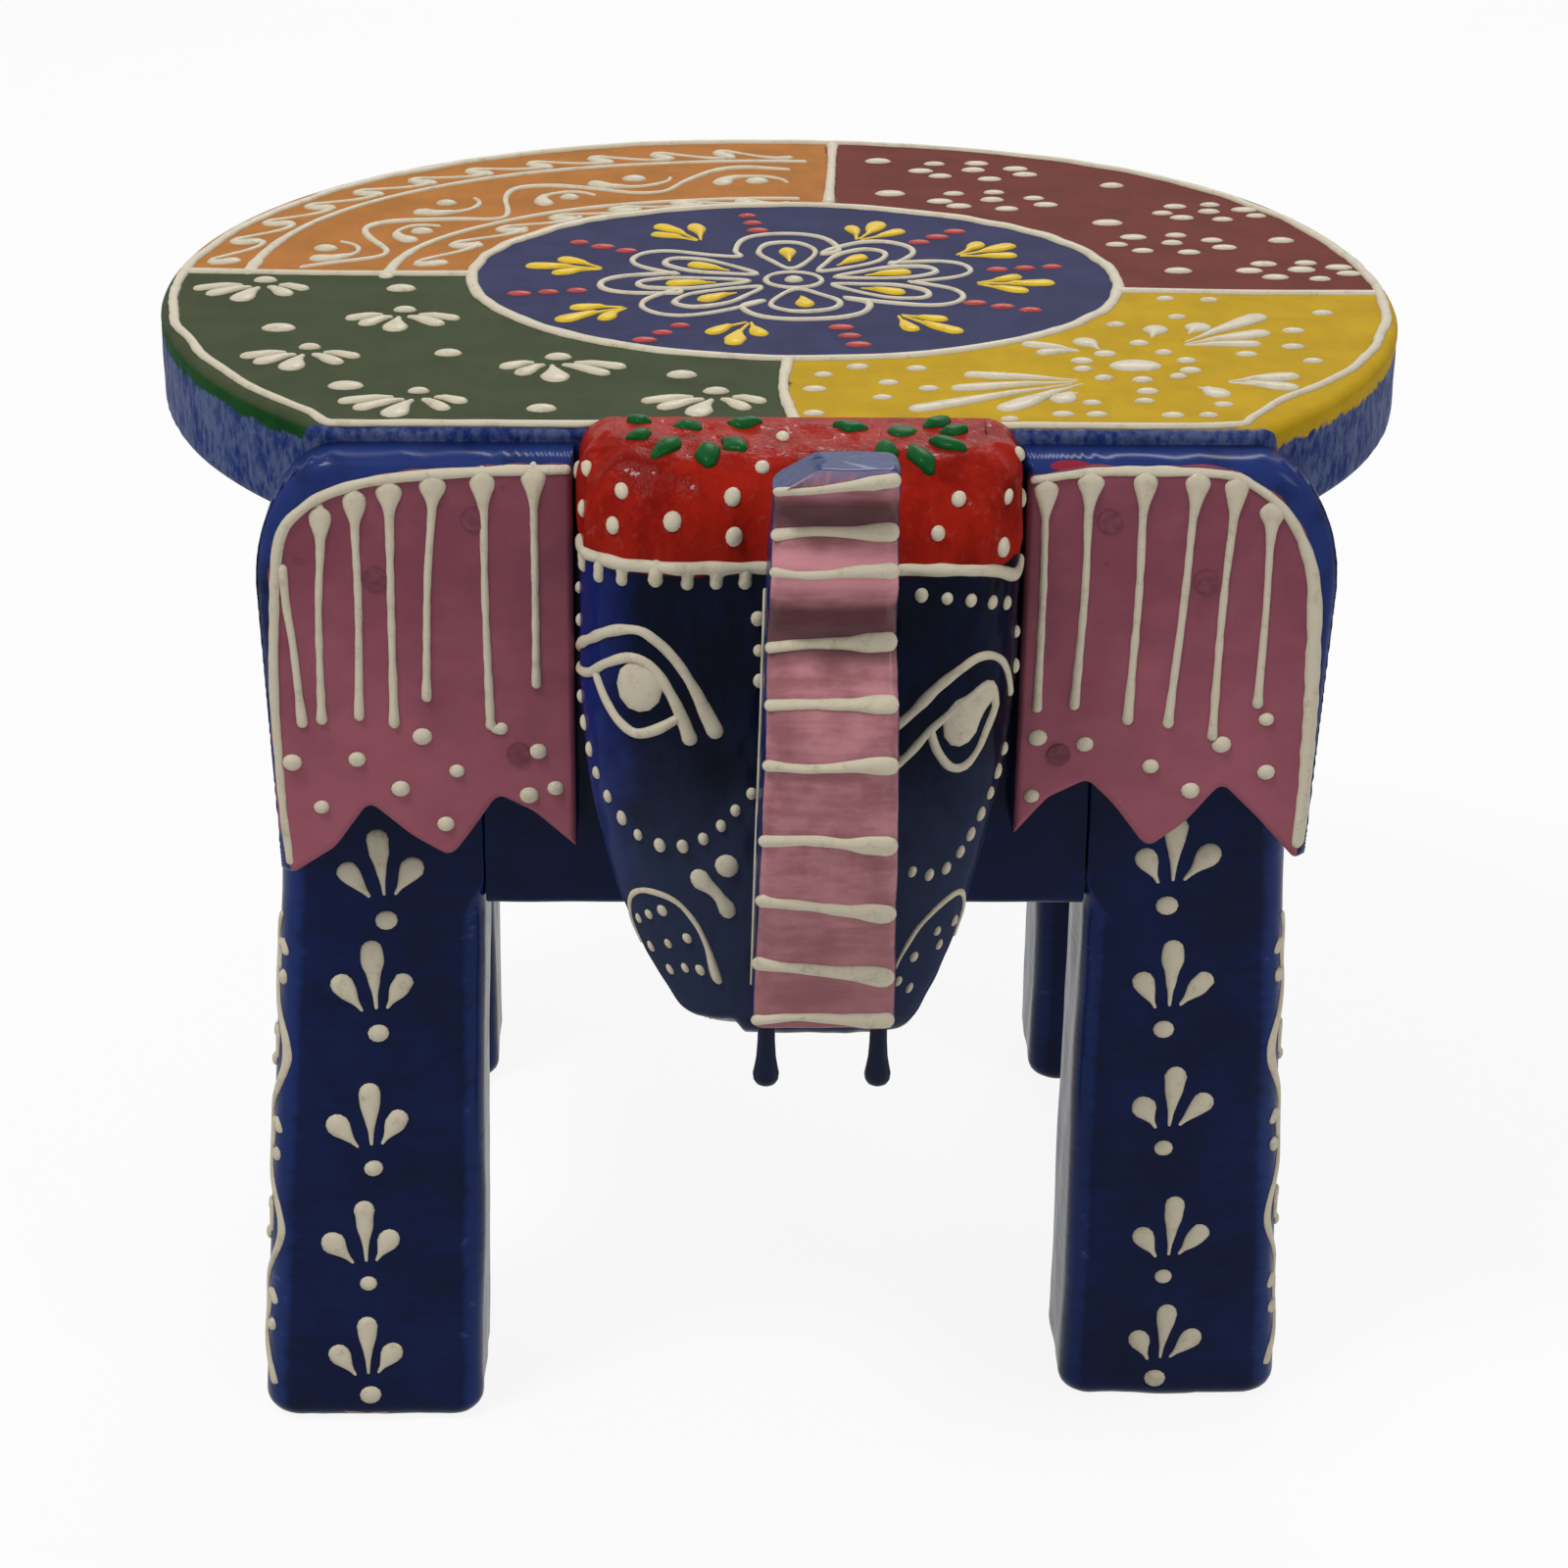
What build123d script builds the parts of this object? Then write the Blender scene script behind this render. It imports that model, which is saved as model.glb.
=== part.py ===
from build123d import *
import os

# A small round stool carved as an elephant: a flat-fronted seat on four splayed legs, joined by
# aprons and side rails, with a carved head, a raised trunk and two board ears on its front.
# X runs across the stool, -Y is the side of the head, and Z is up from the floor. The origin is
# on the floor, under the middle of the stool's reach from trunk tip to seat rim.

os.makedirs("parts", exist_ok=True)

# ---- Driving dimensions, in millimetres ----

# Seat
seat_diameter = 152.0
seat_thickness = 12.0
seat_edge_round = 1.2
stool_height = 127.0            # floor to the top of the seat

# Frame under the seat
front_cut = 21.0                # seat rim to the straight front of seat and frame
rear_inset = 28.5               # seat rim to the back of the frame
front_leg_inset = 19.0          # seat rim to a front leg's outer side, under the seat
rear_leg_inset = 15.6           # the same for a rear leg
leg_width = 22.0
leg_depth = 20.0
leg_splay = 5.3                 # outer side at the floor, outside the same at the top
left_foot_outward = 1.3         # the front left foot stands out to the side
left_foot_forward = 4.2         # and forward
leg_outer_round = 5.0
leg_inner_round = 3.5
foot_round = 2.5
apron_height = 46.5
apron_thickness = 14.0
rail_thickness = 16.0

# Ears, flat boards nailed on the front
ear_thickness = 6.4
ear_overhang = 3.1              # outside the front leg's outer side
left_ear_height = 50.0
right_ear_height = 48.2
ear_drop = 1.7                  # seat top down to the ear's top
ear_corner_width = 9.5
ear_corner_height = 15.0
ear_edge_round = 1.0
ear_notch_depth = 9.5
ear_inner_notch = 8.8           # ear's inner edge to its first notch
ear_middle_tip = 15.6           # ear's inner edge to its middle tip
ear_outer_notch = 24.2          # ear's inner edge to its second notch
ear_outer_tip_inset = 1.5       # ear's outer edge to its outer tip
ear_inner_tip_rise = 3.3        # inner tip above the outer one
ear_middle_tip_rise = 1.5       # middle tip above the outer one
ear_gap = 0.6                   # between ear and head

# Head, one carved block between the ears
head_shift = 0.8                # to the right of the middle, with the ears and the trunk
head_width = 48.6
head_depth = 18.0
head_rise = 1.3                 # above the top of the seat
head_height = 68.8
head_side_depth = 8.0           # depth of the head's flat sides
head_face_width = 28.0          # flat middle of the face
head_corner_round = 4.0
head_brow_round = 9.0
head_cheek_drop = 27.0          # straight sides, from the head's top
chin_width = 22.5
chin_shift = 2.8                # to the right of the head's middle
chin_round = 4.0

# Trunk, an upright S-shaped strip glued on the face
trunk_shift = 2.9               # to the right of the head's middle
trunk_base_width = 16.2
trunk_tip_width = 13.2
trunk_reach = 15.0              # tip in front of the face
trunk_foot_rise = 5.1           # trunk's foot above the chin
trunk_foot_reach = 6.0
trunk_belly_step = 36.0         # foot up to the fullest part of the lower curve
trunk_belly_reach = 13.5
trunk_neck_step = 12.0          # belly up to the hollow under the upper curve
trunk_neck_reach = 9.0
trunk_crest_step = 9.0          # neck up to the upper curve
trunk_crest_reach = 13.0
trunk_throat_step = 5.5         # crest up to the hollow under the tip
trunk_throat_reach = 11.4
trunk_tip_step = 6.3            # throat up to the top of the tip
trunk_tip_thickness = 7.0
trunk_tip_height = 1.6
trunk_free_step = 5.0           # neck up to where the trunk's back leaves the face
trunk_tip_slope = 0.6

# Tusks, two nails under the trunk
tusk_spacing = 12.6
tusk_radius = 0.9
tusk_tip_radius = 1.5
tusk_length = 8.4
tusk_setting = 7.5              # length held in the trunk
tusk_back = 3.0                 # from the face to the tusk's axis

# Tail, a thin strip on the rear apron
tail_thickness = 5.0
tail_root_width = 9.0
tail_waist_width = 5.0
tail_tuft_width = 11.0
tail_length = 55.0
tail_tuft_length = 17.0
tail_drop = 4.0                 # under the seat

# Dowels, nails and screws
dowel_radius = 3.0
dowel_length = 16.0
apron_dowel_spacing = 30.0
rail_dowel_spacing = 14.0
glue_gap = 0.05                 # round a dowel, and past each of its ends
trunk_dowel_radius = 2.0
trunk_dowel_length = 10.0
trunk_dowel_rise = 12.0         # lower dowel above the trunk's foot
trunk_dowel_spacing = 24.0
nail_gap = 0.02                 # round a nail or a screw
seat_nail_radius = 1.3
seat_nail_head_radius = 2.8
seat_nail_head_thickness = 1.0
seat_nail_length = 34.0
seat_nail_sink = 3.0            # nail head's top below the top of the seat
filler_cover = 0.4              # top of the filler below the top of the seat
board_nail_radius = 0.7
board_nail_head_radius = 1.3
board_nail_head_thickness = 0.5
board_nail_proud = 0.15
board_nail_grip = 10.0          # length behind the board
ear_nail_margin = 3.5           # upper ear nails above and below the seat's underside
ear_low_nail_drop = 24.5        # lower ear nail below the seat's underside
ear_low_nail_inset = 5.6        # lower ear nail from the ear's inner edge
tail_nail_spacing = 20.0
tail_nail_margin = 8.0          # tail's top to its first nail
head_screw_radius = 2.0
head_screw_head_radius = 3.6
head_screw_head_thickness = 2.2
head_screw_grip = 11.0          # length in the head
head_screw_spacing = 24.0
nail_point = 2.0                # length of a nail's or screw's point

# ---- Worked out from the above ----

seat_radius = seat_diameter / 2
leg_top_z = stool_height - seat_thickness
apron_bottom_z = leg_top_z - apron_height
apron_middle_z = leg_top_z - apron_height / 2
front_reach = seat_radius - front_cut + head_depth + trunk_reach
centre_y = (front_reach - seat_radius) / 2
front_y = centre_y - seat_radius + front_cut
back_y = centre_y + seat_radius - rear_inset
face_y = front_y - head_depth
ear_front_y = front_y - ear_thickness
apron_back_y = front_y + apron_thickness
dowel_reach = dowel_length / 2
sides = {"left": -1, "right": 1}
leg_outer = {"front": seat_radius - front_leg_inset, "rear": seat_radius - rear_leg_inset}
leg_inner = {end: outer - leg_width for end, outer in leg_outer.items()}
leg_y = {"front": front_y + leg_depth / 2, "rear": back_y - leg_depth / 2}
apron_y = {"front": front_y + apron_thickness / 2, "rear": back_y - apron_thickness / 2}
rail_ends = (front_y + leg_depth, back_y - leg_depth)
rail_x = (leg_outer["front"] + leg_outer["rear"] - leg_width) / 2
foot_lean = {("front", "left"): (-left_foot_outward, -left_foot_forward)}
ear_height = {"left": left_ear_height, "right": right_ear_height}
ear_top_z = stool_height - ear_drop
head_top_z = stool_height + head_rise
chin_z = head_top_z - head_height
trunk_x = head_shift + trunk_shift
trunk_foot_z = chin_z + trunk_foot_rise
belly_z = trunk_foot_z + trunk_belly_step
neck_z = belly_z + trunk_neck_step
crest_z = neck_z + trunk_crest_step
throat_z = crest_z + trunk_throat_step
tip_z = throat_z + trunk_tip_step
seat_nail_z = stool_height - seat_nail_sink
tail_top_z = leg_top_z - tail_drop


def outer_at(end, z):
    """Half the width over two legs at height z, on the straight splay down to the floor."""
    return leg_outer[end] + leg_splay * (1 - z / leg_top_z)


def both(value):
    """A distance from the middle, to each side of it."""
    return (-value, value)


def drill(start, direction, length, radius):
    """Cut a round hole out of the piece being built."""
    with Locations(Plane(origin=start, z_dir=direction)):
        Cylinder(radius, length, align=(Align.CENTER, Align.CENTER, Align.MIN), mode=Mode.SUBTRACT)


def peg(start, direction, length, radius):
    """Add a round bar to the piece being built."""
    with Locations(Plane(origin=start, z_dir=direction)):
        Cylinder(radius, length, align=(Align.CENTER, Align.CENTER, Align.MIN))


def nail(start, direction, length, radius, head_radius, head_thickness):
    """Add a nail whose head starts at start, with its point at the far end."""
    tip = Vector(*start) + Vector(*direction) * (length - nail_point)
    peg(start, direction, head_thickness, head_radius)
    peg(start, direction, length - nail_point, radius)
    with Locations(Plane(origin=tip, z_dir=direction)):
        Cone(radius, radius / 4, nail_point, align=(Align.CENTER, Align.CENTER, Align.MIN))


def nail_seat(start, direction, length, radius, head_radius, head_thickness):
    """Cut the room for a nail out of the piece being built."""
    drill(start, direction, head_thickness, head_radius + nail_gap)
    drill(start, direction, length + nail_gap, radius + nail_gap)


# Where each fastener starts, which way it points, and its shape
seat_nail_shape = (seat_nail_length, seat_nail_radius, seat_nail_head_radius, seat_nail_head_thickness)
seat_nail_starts = [
    (x, leg_y[end], seat_nail_z)
    for end in leg_y
    for x in both((leg_inner[end] + dowel_reach + leg_outer[end]) / 2)
]
ear_nail_shape = (
    board_nail_proud + ear_thickness + board_nail_grip,
    board_nail_radius,
    board_nail_head_radius,
    board_nail_head_thickness,
)
ear_nail_starts = [
    (side * x, ear_front_y - board_nail_proud, z)
    for side in sides.values()
    for x, z in (
        (leg_outer["front"] - leg_width / 2, leg_top_z - ear_nail_margin),
        (leg_inner["front"], leg_top_z + ear_nail_margin),
        (head_width / 2 + ear_gap + ear_low_nail_inset, leg_top_z - ear_low_nail_drop),
    )
]
tail_nail_shape = (
    board_nail_proud + tail_thickness + board_nail_grip,
    board_nail_radius,
    board_nail_head_radius,
    board_nail_head_thickness,
)
tail_nail_starts = [
    (0, back_y + tail_thickness + board_nail_proud, tail_top_z - tail_nail_margin - drop)
    for drop in (0, tail_nail_spacing)
]
head_screw_shape = (
    apron_thickness + head_screw_grip,
    head_screw_radius,
    head_screw_head_radius,
    head_screw_head_thickness,
)
head_screw_starts = [
    (0, apron_back_y, apron_middle_z + rise) for rise in both(head_screw_spacing / 2)
]
apron_dowel_starts = [
    (x - dowel_reach, apron_y[end], apron_middle_z + rise)
    for end in apron_y
    for x in both(leg_inner[end])
    for rise in both(apron_dowel_spacing / 2)
]
rail_dowel_starts = [
    (x, y - dowel_reach, apron_middle_z + rise)
    for x in both(rail_x)
    for y in rail_ends
    for rise in both(rail_dowel_spacing / 2)
]
trunk_dowel_starts = [
    (trunk_x, face_y + trunk_dowel_length / 2, trunk_foot_z + trunk_dowel_rise + rise)
    for rise in (0, trunk_dowel_spacing)
]
tusk_starts = [
    (trunk_x + x, face_y - tusk_back, trunk_foot_z) for x in both(tusk_spacing / 2)
]


def drill_dowel_holes(starts, direction, length, radius):
    """Cut the holes for a row of dowels out of the piece being built."""
    for start in starts:
        mouth = Vector(*start) - Vector(*direction) * glue_gap
        drill(mouth, direction, length + 2 * glue_gap, radius + glue_gap)


# ---- Seat: a round board cut straight across its front ----

with BuildPart() as seat_disc:
    with BuildSketch(Plane.XY.offset(leg_top_z)):
        with Locations((0, centre_y)):
            Circle(seat_radius)
        with Locations((0, front_y)):
            Rectangle(seat_diameter, seat_diameter, align=(Align.CENTER, Align.MAX), mode=Mode.SUBTRACT)
    extrude(amount=seat_thickness)
    rim = seat_disc.edges().filter_by(GeomType.CIRCLE)
    fillet(rim, radius=seat_edge_round)
    for start in seat_nail_starts:
        nail_seat(start, (0, 0, -1), *seat_nail_shape)
        drill(start, (0, 0, 1), seat_nail_sink, seat_nail_head_radius + nail_gap)
    for start in ear_nail_starts:
        nail_seat(start, (0, 1, 0), *ear_nail_shape)
seat_disc.part.label = "seat_disc"
export_step(seat_disc.part, "parts/seat_disc.step")

# ---- Legs: square posts, splayed on the outside, rounded below the apron ----

for end in leg_y:
    for side_name, side in sides.items():
        lean_x, lean_y = foot_lean.get((end, side_name), (0, 0))
        foot_x = side * (leg_inner[end] + outer_at(end, 0)) / 2 + lean_x
        with BuildPart() as leg:
            for z, x, y in (
                (0, foot_x, leg_y[end] + lean_y),
                (apron_bottom_z, side * (leg_inner[end] + outer_at(end, apron_bottom_z)) / 2, leg_y[end]),
            ):
                with BuildSketch(Plane.XY.offset(z)) as shank:
                    with Locations((x, y)):
                        Rectangle(outer_at(end, z) - leg_inner[end], leg_depth)
                    corners = shank.vertices().sort_by(Axis.X, reverse=side > 0)
                    fillet(corners[:2], radius=leg_outer_round)
                    corners = shank.vertices().sort_by(Axis.X, reverse=side < 0)
                    fillet(corners[:2], radius=leg_inner_round)
            loft(ruled=True)
            sole = leg.faces().sort_by(Axis.Z)[0]
            fillet(sole.edges(), radius=foot_round)
            for z in (apron_bottom_z, leg_top_z):
                with BuildSketch(Plane.XY.offset(z)) as head_block:
                    with Locations((side * (leg_inner[end] + outer_at(end, z)) / 2, leg_y[end])):
                        Rectangle(outer_at(end, z) - leg_inner[end], leg_depth)
                    corners = head_block.vertices().sort_by(Axis.X, reverse=side > 0)
                    fillet(corners[:2], radius=leg_outer_round)
            loft(ruled=True)
            drill_dowel_holes(apron_dowel_starts, (1, 0, 0), dowel_length, dowel_radius)
            drill_dowel_holes(rail_dowel_starts, (0, 1, 0), dowel_length, dowel_radius)
            for start in seat_nail_starts:
                nail_seat(start, (0, 0, -1), *seat_nail_shape)
            for start in ear_nail_starts:
                nail_seat(start, (0, 1, 0), *ear_nail_shape)
        leg.part.label = f"{end}_{side_name}_leg"
        export_step(leg.part, f"parts/{leg.part.label}.step")

# ---- Aprons: boards between two legs, flush with the frame's front and back ----

with BuildPart() as front_apron:
    with BuildSketch(Plane.XY.offset(apron_bottom_z)):
        with Locations((0, apron_y["front"])):
            Rectangle(2 * leg_inner["front"], apron_thickness)
    extrude(amount=apron_height)
    drill_dowel_holes(apron_dowel_starts, (1, 0, 0), dowel_length, dowel_radius)
    for start in ear_nail_starts:
        nail_seat(start, (0, 1, 0), *ear_nail_shape)
    for start in head_screw_starts:
        nail_seat(start, (0, -1, 0), *head_screw_shape)
front_apron.part.label = "front_apron"
export_step(front_apron.part, "parts/front_apron.step")

with BuildPart() as rear_apron:
    with BuildSketch(Plane.XY.offset(apron_bottom_z)):
        with Locations((0, apron_y["rear"])):
            Rectangle(2 * leg_inner["rear"], apron_thickness)
    extrude(amount=apron_height)
    drill_dowel_holes(apron_dowel_starts, (1, 0, 0), dowel_length, dowel_radius)
    for start in tail_nail_starts:
        nail_seat(start, (0, -1, 0), *tail_nail_shape)
rear_apron.part.label = "rear_apron"
export_step(rear_apron.part, "parts/rear_apron.step")

# ---- Side rails: boards between a front and a rear leg ----

for side_name, side in sides.items():
    with BuildPart() as side_rail:
        with BuildSketch(Plane.XY.offset(apron_bottom_z)):
            with Locations((side * rail_x, sum(rail_ends) / 2)):
                Rectangle(rail_thickness, rail_ends[1] - rail_ends[0])
        extrude(amount=apron_height)
        drill_dowel_holes(rail_dowel_starts, (0, 1, 0), dowel_length, dowel_radius)
    side_rail.part.label = f"{side_name}_side_rail"
    export_step(side_rail.part, f"parts/{side_rail.part.label}.step")

with BuildPart() as frame_dowels:
    for start in apron_dowel_starts:
        peg(start, (1, 0, 0), dowel_length, dowel_radius)
    for start in rail_dowel_starts:
        peg(start, (0, 1, 0), dowel_length, dowel_radius)
frame_dowels.part.label = "frame_dowels"
export_step(frame_dowels.part, "parts/frame_dowels.step")

# ---- Seat nails, driven into the legs, with filler over their heads ----

with BuildPart() as seat_nails:
    for start in seat_nail_starts:
        nail(start, (0, 0, -1), *seat_nail_shape)
seat_nails.part.label = "seat_nails"
export_step(seat_nails.part, "parts/seat_nails.step")

with BuildPart() as seat_fillers:
    for start in seat_nail_starts:
        peg(start, (0, 0, 1), seat_nail_sink - filler_cover, seat_nail_head_radius)
seat_fillers.part.label = "seat_fillers"
export_step(seat_fillers.part, "parts/seat_fillers.step")

# ---- Ears: boards with one round corner and a notched lower edge ----

for side_name, side in sides.items():
    inner = side * (head_width / 2 + ear_gap) + head_shift
    outer = side * (leg_outer["front"] + ear_overhang) + head_shift
    corner = (outer - side * ear_corner_width, ear_top_z - ear_corner_height)
    bottom_z = ear_top_z - ear_height[side_name]
    start_angle = 0 if side > 0 else 90
    with BuildPart() as ear:
        with BuildSketch(Plane(origin=(0, front_y, 0), x_dir=(1, 0, 0), z_dir=(0, -1, 0))):
            with BuildLine():
                EllipticalCenterArc(corner, ear_corner_width, ear_corner_height, start_angle, arc_size=90)
                Polyline(
                    (outer, corner[1]),
                    (outer - side * ear_outer_tip_inset, bottom_z),
                    (inner + side * ear_outer_notch, bottom_z + ear_notch_depth),
                    (inner + side * ear_middle_tip, bottom_z + ear_middle_tip_rise),
                    (inner + side * ear_inner_notch, bottom_z + ear_notch_depth),
                    (inner, bottom_z + ear_inner_tip_rise),
                    (inner, ear_top_z),
                    (corner[0], ear_top_z),
                )
            make_face()
        extrude(amount=ear_thickness)
        front = ear.faces().sort_by(Axis.Y)[0]
        fillet(front.edges(), radius=ear_edge_round)
        for start in ear_nail_starts:
            nail_seat(start, (0, 1, 0), *ear_nail_shape)
    ear.part.label = f"{side_name}_ear"
    export_step(ear.part, f"parts/{ear.part.label}.step")

with BuildPart() as ear_nails:
    for start in ear_nail_starts:
        nail(start, (0, 1, 0), *ear_nail_shape)
ear_nails.part.label = "ear_nails"
export_step(ear_nails.part, "parts/ear_nails.step")

# ---- Head: the front outline, cut to the face's plan and then to its side profile ----

with BuildPart() as head:
    half_head = head_width / 2
    cheek_z = head_top_z - head_cheek_drop
    with BuildSketch(Plane(origin=(head_shift, front_y, 0), x_dir=(1, 0, 0), z_dir=(0, -1, 0))) as outline:
        with BuildLine():
            Line((-half_head, cheek_z), (-half_head, head_top_z))
            Line((-half_head, head_top_z), (half_head, head_top_z))
            Line((half_head, head_top_z), (half_head, cheek_z))
            TangentArc((half_head, cheek_z), (chin_shift + chin_width / 2, chin_z), tangent=(0, -1))
            Line((chin_shift + chin_width / 2, chin_z), (chin_shift - chin_width / 2, chin_z))
            TangentArc((-half_head, cheek_z), (chin_shift - chin_width / 2, chin_z), tangent=(0, -1))
        make_face()
        fillet(outline.vertices().group_by(Axis.Y)[-1], radius=head_corner_round)
    extrude(amount=head_depth)
    with BuildSketch(Plane(origin=(head_shift, 0, chin_z))):
        with BuildLine():
            side_y = front_y - head_side_depth
            Polyline((-half_head, side_y), (-half_head, front_y), (half_head, front_y), (half_head, side_y))
            TangentArc((head_face_width / 2, face_y), (half_head, side_y), tangent=(1, 0))
            Line((head_face_width / 2, face_y), (-head_face_width / 2, face_y))
            TangentArc((-head_face_width / 2, face_y), (-half_head, side_y), tangent=(-1, 0))
        make_face()
    extrude(amount=head_height, mode=Mode.INTERSECT)
    with BuildSketch(Plane.YZ) as profile:
        with Locations((front_y, chin_z)):
            Rectangle(head_depth, head_height, align=(Align.MAX, Align.MIN))
        fillet(profile.vertices().sort_by(Axis.Y).group_by(Axis.X)[0].sort_by(Axis.Y)[-1], radius=head_brow_round)
        fillet(profile.vertices().group_by(Axis.Y)[0].sort_by(Axis.X)[0], radius=chin_round)
    extrude(amount=seat_radius, both=True, mode=Mode.INTERSECT)
    for start in head_screw_starts:
        nail_seat(start, (0, -1, 0), *head_screw_shape)
    drill_dowel_holes(trunk_dowel_starts, (0, -1, 0), trunk_dowel_length, trunk_dowel_radius)
head.part.label = "head"
export_step(head.part, "parts/head.step")

with BuildPart() as head_screws:
    for start in head_screw_starts:
        nail(start, (0, -1, 0), *head_screw_shape)
head_screws.part.label = "head_screws"
export_step(head_screws.part, "parts/head_screws.step")

# ---- Trunk: the side profile carried across, then tapered to its tip ----

with BuildPart() as trunk:
    tip_y = face_y - trunk_reach
    with BuildSketch(Plane.YZ):
        with BuildLine():
            Spline(
                (face_y - trunk_foot_reach, trunk_foot_z),
                (face_y - trunk_belly_reach, belly_z),
                (face_y - trunk_neck_reach, neck_z),
                (face_y - trunk_crest_reach, crest_z),
                (face_y - trunk_throat_reach, throat_z),
                (tip_y, tip_z - trunk_tip_height),
                tangents=((-0.5, 1), (-1, 0.8)),
            )
            Polyline(
                (tip_y, tip_z - trunk_tip_height),
                (tip_y, tip_z - trunk_tip_slope),
                (tip_y + trunk_tip_thickness, tip_z),
                (face_y, neck_z + trunk_free_step),
                (face_y, trunk_foot_z),
                (face_y - trunk_foot_reach, trunk_foot_z),
            )
        make_face()
    extrude(amount=seat_radius, both=True)
    with BuildSketch(Plane(origin=(trunk_x, face_y, 0), x_dir=(1, 0, 0), z_dir=(0, -1, 0))):
        Polygon(
            (-trunk_base_width / 2, trunk_foot_z),
            (trunk_base_width / 2, trunk_foot_z),
            (trunk_tip_width / 2, tip_z),
            (-trunk_tip_width / 2, tip_z),
            align=None,
        )
    extrude(amount=trunk_reach, mode=Mode.INTERSECT)
    drill_dowel_holes(trunk_dowel_starts, (0, -1, 0), trunk_dowel_length, trunk_dowel_radius)
    for start in tusk_starts:
        drill(start, (0, 0, 1), tusk_setting + nail_gap, tusk_radius + nail_gap)
trunk.part.label = "trunk"
export_step(trunk.part, "parts/trunk.step")

with BuildPart() as trunk_dowels:
    for start in trunk_dowel_starts:
        peg(start, (0, -1, 0), trunk_dowel_length, trunk_dowel_radius)
trunk_dowels.part.label = "trunk_dowels"
export_step(trunk_dowels.part, "parts/trunk_dowels.step")

# ---- Tusks: nails driven up into the trunk, their round heads hanging down ----

for side_name, start in zip(sides, tusk_starts):
    with BuildPart() as tusk:
        shank_end = (start[0], start[1], trunk_foot_z - tusk_length + tusk_tip_radius)
        peg(shank_end, (0, 0, 1), tusk_length - tusk_tip_radius + tusk_setting, tusk_radius)
        with Locations(shank_end):
            Sphere(tusk_tip_radius)
    tusk.part.label = f"{side_name}_tusk"
    export_step(tusk.part, f"parts/{tusk.part.label}.step")

# ---- Tail: a strip that narrows to a waist and ends in a tuft ----

with BuildPart() as tail:
    waist_z = tail_top_z - tail_length + tail_tuft_length
    tuft_z = tail_top_z - tail_length + tail_tuft_length / 2
    with BuildSketch(Plane(origin=(0, back_y, 0), x_dir=(-1, 0, 0), z_dir=(0, 1, 0))):
        with BuildLine() as half_outline:
            Line((0, tail_top_z), (tail_root_width / 2, tail_top_z))
            Line((tail_root_width / 2, tail_top_z), (tail_waist_width / 2, waist_z))
            Spline(
                (tail_waist_width / 2, waist_z),
                (tail_tuft_width / 2, tuft_z),
                (0, tail_top_z - tail_length),
            )
            mirror(about=Plane.YZ)
        make_face()
    extrude(amount=tail_thickness)
    for start in tail_nail_starts:
        nail_seat(start, (0, -1, 0), *tail_nail_shape)
tail.part.label = "tail"
export_step(tail.part, "parts/tail.step")

with BuildPart() as tail_nails:
    for start in tail_nail_starts:
        nail(start, (0, -1, 0), *tail_nail_shape)
tail_nails.part.label = "tail_nails"
export_step(tail_nails.part, "parts/tail_nails.step")
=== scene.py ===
import bpy
import numpy as np
from mathutils import Matrix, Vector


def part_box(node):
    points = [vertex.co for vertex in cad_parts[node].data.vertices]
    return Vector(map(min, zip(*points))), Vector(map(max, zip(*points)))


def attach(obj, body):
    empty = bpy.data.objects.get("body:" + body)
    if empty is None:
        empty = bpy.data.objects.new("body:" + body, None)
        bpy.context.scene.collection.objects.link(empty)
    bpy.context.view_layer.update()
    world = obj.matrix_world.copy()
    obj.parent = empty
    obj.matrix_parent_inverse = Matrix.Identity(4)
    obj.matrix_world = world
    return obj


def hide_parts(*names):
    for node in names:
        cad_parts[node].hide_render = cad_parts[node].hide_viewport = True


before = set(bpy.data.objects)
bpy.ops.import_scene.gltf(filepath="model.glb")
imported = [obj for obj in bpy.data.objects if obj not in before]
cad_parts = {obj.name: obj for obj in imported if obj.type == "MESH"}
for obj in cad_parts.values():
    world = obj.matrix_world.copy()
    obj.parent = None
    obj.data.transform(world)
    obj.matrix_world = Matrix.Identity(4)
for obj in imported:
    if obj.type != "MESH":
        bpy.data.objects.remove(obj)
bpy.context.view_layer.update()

bl_info = {
    "name": "Painted Elephant Stool",
    "version": (1, 0, 0),
    "blender": (4, 5, 0),
    "location": "View3D > Sidebar > Stool",
    "description": "A small carved stool with an elephant's head, painted and drawn over with raised paint",
    "category": "Add Mesh",
}

# Lengths are millimetres in the frame's axes: X across the stool, -Y towards the face, Z up.

MM = 0.001


def span(node):
    """Lowest and highest corner of a fixed node, in millimetres."""
    low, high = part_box(node)
    return np.array(low) / MM, np.array(high) / MM


SEAT_LOW, SEAT_HIGH = span("seat_disc")
SEAT_RADIUS = (SEAT_HIGH[0] - SEAT_LOW[0]) / 2
SEAT_Y = SEAT_HIGH[1] - SEAT_RADIUS     # the middle of the seat
TOP_Z = SEAT_HIGH[2]
FRONT_Y = SEAT_LOW[1]                   # the straight front of the seat and of the legs and boards under it
SEAM = 0.02                             # between that and the backs of the ears and the head


# ---- Shapes: whole arrays of points ----


def smooth(t):
    """The step 3t^2 - 2t^3 between 0 and 1, level outside."""
    t = np.clip(t, 0.0, 1.0)
    return t * t * (3.0 - 2.0 * t)


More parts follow.
